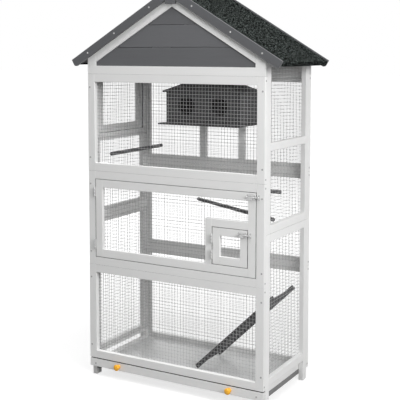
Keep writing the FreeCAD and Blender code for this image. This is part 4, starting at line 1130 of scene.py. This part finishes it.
FELT_THICKNESS = 1.9
FELT_FOLD = 12.5
FELT_BEND = 2.6
FELT_STEP = 8.0
FELT_WAVE = 0.45
FELT_WAVE_SIZE = 0.055
FELT_TUCK = 0.4
FOLD_SHARES = (0.33, 0.66, 1.0)
WAVE_MIDDLE = 0.3
WAVE_SHARE = 0.5
WAVE_LEAST = 0.2
BEND_STEPS = 5


def felt_line(ridge, eave):
    """The middle line of one slope's felt, as (across, height, normal) from the ridge to the fold's end."""
    run = (eave - ridge).normalized()
    rise = Vector((-run.y, run.x))
    half = FELT_THICKNESS / 2 * MM
    bend = FELT_BEND * MM
    length = (eave - ridge).length - bend + (FELT_THICKNESS - FELT_TUCK) * MM
    start = ridge - rise * half
    count = round(length / (FELT_STEP * MM))
    line = [(start + run * (length * step / count), rise) for step in range(1, count + 1)]
    hub = start + run * length - rise * (bend - half)
    for step in range(1, BEND_STEPS + 1):
        turn = math.pi / 2 * step / BEND_STEPS
        normal = rise * math.cos(turn) + run * math.sin(turn)
        line.append((hub + normal * (bend - half), normal))
    corner = line[-1][0]
    for share in FOLD_SHARES:
        line.append((corner - rise * (FELT_FOLD * MM * share), run))
    return line


def roof_felt():
    """One sheet, faintly wavy, with its thickness."""
    low, high = (Vector(corner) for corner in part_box("roof_felt"))
    corners = {(round(point.x, 5), round(point.z, 5)) for point in solids("roof_felt")[0][0]}
    ridge = Vector(max(corners, key=lambda corner: corner[1]))
    eave = Vector(max(corners))
    right = felt_line(ridge, eave)
    left = [(Vector((-spot.x, spot.y)), Vector((-normal.x, normal.y))) for spot, normal in right]
    crown = (ridge - Vector((0, FELT_THICKNESS / 2 * MM)), Vector((0, 1)))
    line = left[::-1] + [crown] + right
    rows = round((high.y - low.y) / (FELT_STEP * MM))
    points, faces = [], []
    for outer in (1, -1):
        for spot, normal in line:
            for row in range(rows + 1):
                y = low.y + (high.y - low.y) * row / rows
                wave = noise.noise(Vector((spot.x, spot.y, y)) / FELT_WAVE_SIZE)
                lift = FELT_WAVE * (wave * WAVE_SHARE + WAVE_MIDDLE) * MM * max(normal.y, WAVE_LEAST)
                across, height = spot + normal * (outer * FELT_THICKNESS / 2 * MM + lift)
                points.append(Vector((across, y, height)))
    width, sheet = rows + 1, len(line) * (rows + 1)
    for step in range(len(line) - 1):
        for row in range(rows):
            near = step * width + row
            faces.append([near, near + 1, near + width + 1, near + width])
            faces.append([sheet + near, sheet + near + width, sheet + near + width + 1, sheet + near + 1])
        for side in (0, rows):
            near = step * width + side
            rim = [near, near + width, sheet + near + width, sheet + near]
            faces.append(rim if side == 0 else rim[::-1])
    for step, flip in ((0, False), (len(line) - 1, True)):
        for row in range(rows):
            near = step * width + row
            rim = [near, sheet + near, sheet + near + 1, near + 1]
            faces.append(rim[::-1] if flip else rim)
    shape = Shape()
    shape.add(points, faces, [True] * len(faces), BACK)
    return shape


roof_felt().finish("roof_felt_detail", FELT, "cage", ["roof_felt"])


# Stage, light and camera

SHADOW_REACH = (0.7, 2.6)


def seen_rays(tree):
    """Whether a ray comes from the camera, from gloss or through glass."""
    rays = put(tree, "LightPath")
    seen = math_of(tree, "MAXIMUM", rays.outputs["Is Camera Ray"], rays.outputs["Is Glossy Ray"])
    return math_of(tree, "MAXIMUM", seen, rays.outputs["Is Transmission Ray"])


def plain_white(name, colour, near_lift, far_lift):
    """A matt surface that the camera, gloss and glass see lifted to white, with shadows near the cage."""
    mat = bpy.data.materials.new(name)
    mat.use_nodes = True
    tree = mat.node_tree
    tree.nodes.clear()
    out = tree.nodes.new("ShaderNodeOutputMaterial")
    matt = put(tree, "BsdfDiffuse", {"Color": (*colour, 1)})
    spot = put(tree, "TexCoord").outputs["Object"]
    away = put(tree, "VectorMath", {0: spot}, {"operation": "LENGTH"}).outputs["Value"]
    near, far = SHADOW_REACH
    reach = {"Value": away, "From Min": near, "From Max": far, "To Min": near_lift, "To Max": far_lift}
    lift = put(tree, "MapRange", reach).outputs["Result"]
    strength = math_of(tree, "MULTIPLY", seen_rays(tree), lift)
    glow = put(tree, "Emission", {"Color": (1, 1, 1, 1), "Strength": strength})
    both = put(tree, "AddShader", {0: matt.outputs[0], 1: glow.outputs[0]})
    tree.links.new(both.outputs[0], out.inputs["Surface"])
    return mat


FLOOR_HALF = 40.0
FLOOR_SHADE = 0.36
FLOOR_LIFT = 0.74
FAR_LIFT = 1.0
AMBIENT = 0.12
corners = [(-FLOOR_HALF, -FLOOR_HALF, 0), (FLOOR_HALF, -FLOOR_HALF, 0)]
corners += [(FLOOR_HALF, FLOOR_HALF, 0), (-FLOOR_HALF, FLOOR_HALF, 0)]
floor_mesh = bpy.data.meshes.new("floor")
floor_mesh.from_pydata(corners, [], [(0, 1, 2, 3)])
floor_mesh.materials.append(plain_white("pale_floor", (FLOOR_SHADE,) * 3, FLOOR_LIFT, FAR_LIFT))
floor = bpy.data.objects.new("floor", floor_mesh)
bpy.context.scene.collection.objects.link(floor)

world = bpy.data.worlds.new("studio")
bpy.context.scene.world = world
world.use_nodes = True
tree = world.node_tree
tree.nodes.clear()
strength = put(tree, "Mix", {0: seen_rays(tree), 2: AMBIENT, 3: 1.0}, {"data_type": "FLOAT"}).outputs[0]
background = put(tree, "Background", {"Color": (1, 1, 1, 1), "Strength": strength})
out = tree.nodes.new("ShaderNodeOutputWorld")
tree.links.new(background.outputs[0], out.inputs["Surface"])


def soft_lamp(name, spot, target, size, power):
    """A large square lamp aimed at a point."""
    lamp = bpy.data.lights.new(name, "AREA")
    lamp.shape = "SQUARE"
    lamp.size = size
    lamp.energy = power
    obj = bpy.data.objects.new(name, lamp)
    obj.location = spot
    obj.rotation_euler = (Vector(target) - Vector(spot)).to_track_quat("-Z", "Y").to_euler()
    bpy.context.scene.collection.objects.link(obj)


# Each lamp: its name, its place, what it is aimed at, its side in metres and its power in watts
LAMPS = (
    ("side_lamp", (3.2, -1.6, 2.1), (0.3, 0, 0.7), 1.6, 106.0),
    ("top_lamp", (0.3, -1.2, 4.4), (0, 0, 0.8), 2.4, 124.0),
    ("front_lamp", (-0.4, -4.2, 1.3), (0, 0, 0.7), 2.2, 7.0),
    ("high_lamp", (2.0, -0.6, 4.6), (0, 0, 0.7), 1.6, 14.0),
    ("back_lamp", (-3.0, 3.2, 2.2), (0, 0, 0.7), 2.0, 60.0),
)
for lamp in LAMPS:
    soft_lamp(*lamp)

# The camera fitted to the photograph: its place, and its fall, roll and turn in degrees
CAMERA_PLACE = (1.6611, -2.8987, 1.2430)
CAMERA_FALL = 4.828
CAMERA_ROLL = -0.055
CAMERA_TURN = 29.711
camera = bpy.data.cameras.new("camera")
camera.sensor_width = 36.0
camera.lens = 80.55
camera.shift_y = -0.18375
camera.clip_end = 200
view = bpy.data.objects.new("camera", camera)
view.location = CAMERA_PLACE
view.rotation_euler = [math.radians(angle) for angle in (90 - CAMERA_FALL, CAMERA_ROLL, CAMERA_TURN)]
bpy.context.scene.collection.objects.link(view)
bpy.context.scene.camera = view
bpy.context.scene.view_settings.view_transform = "Standard"
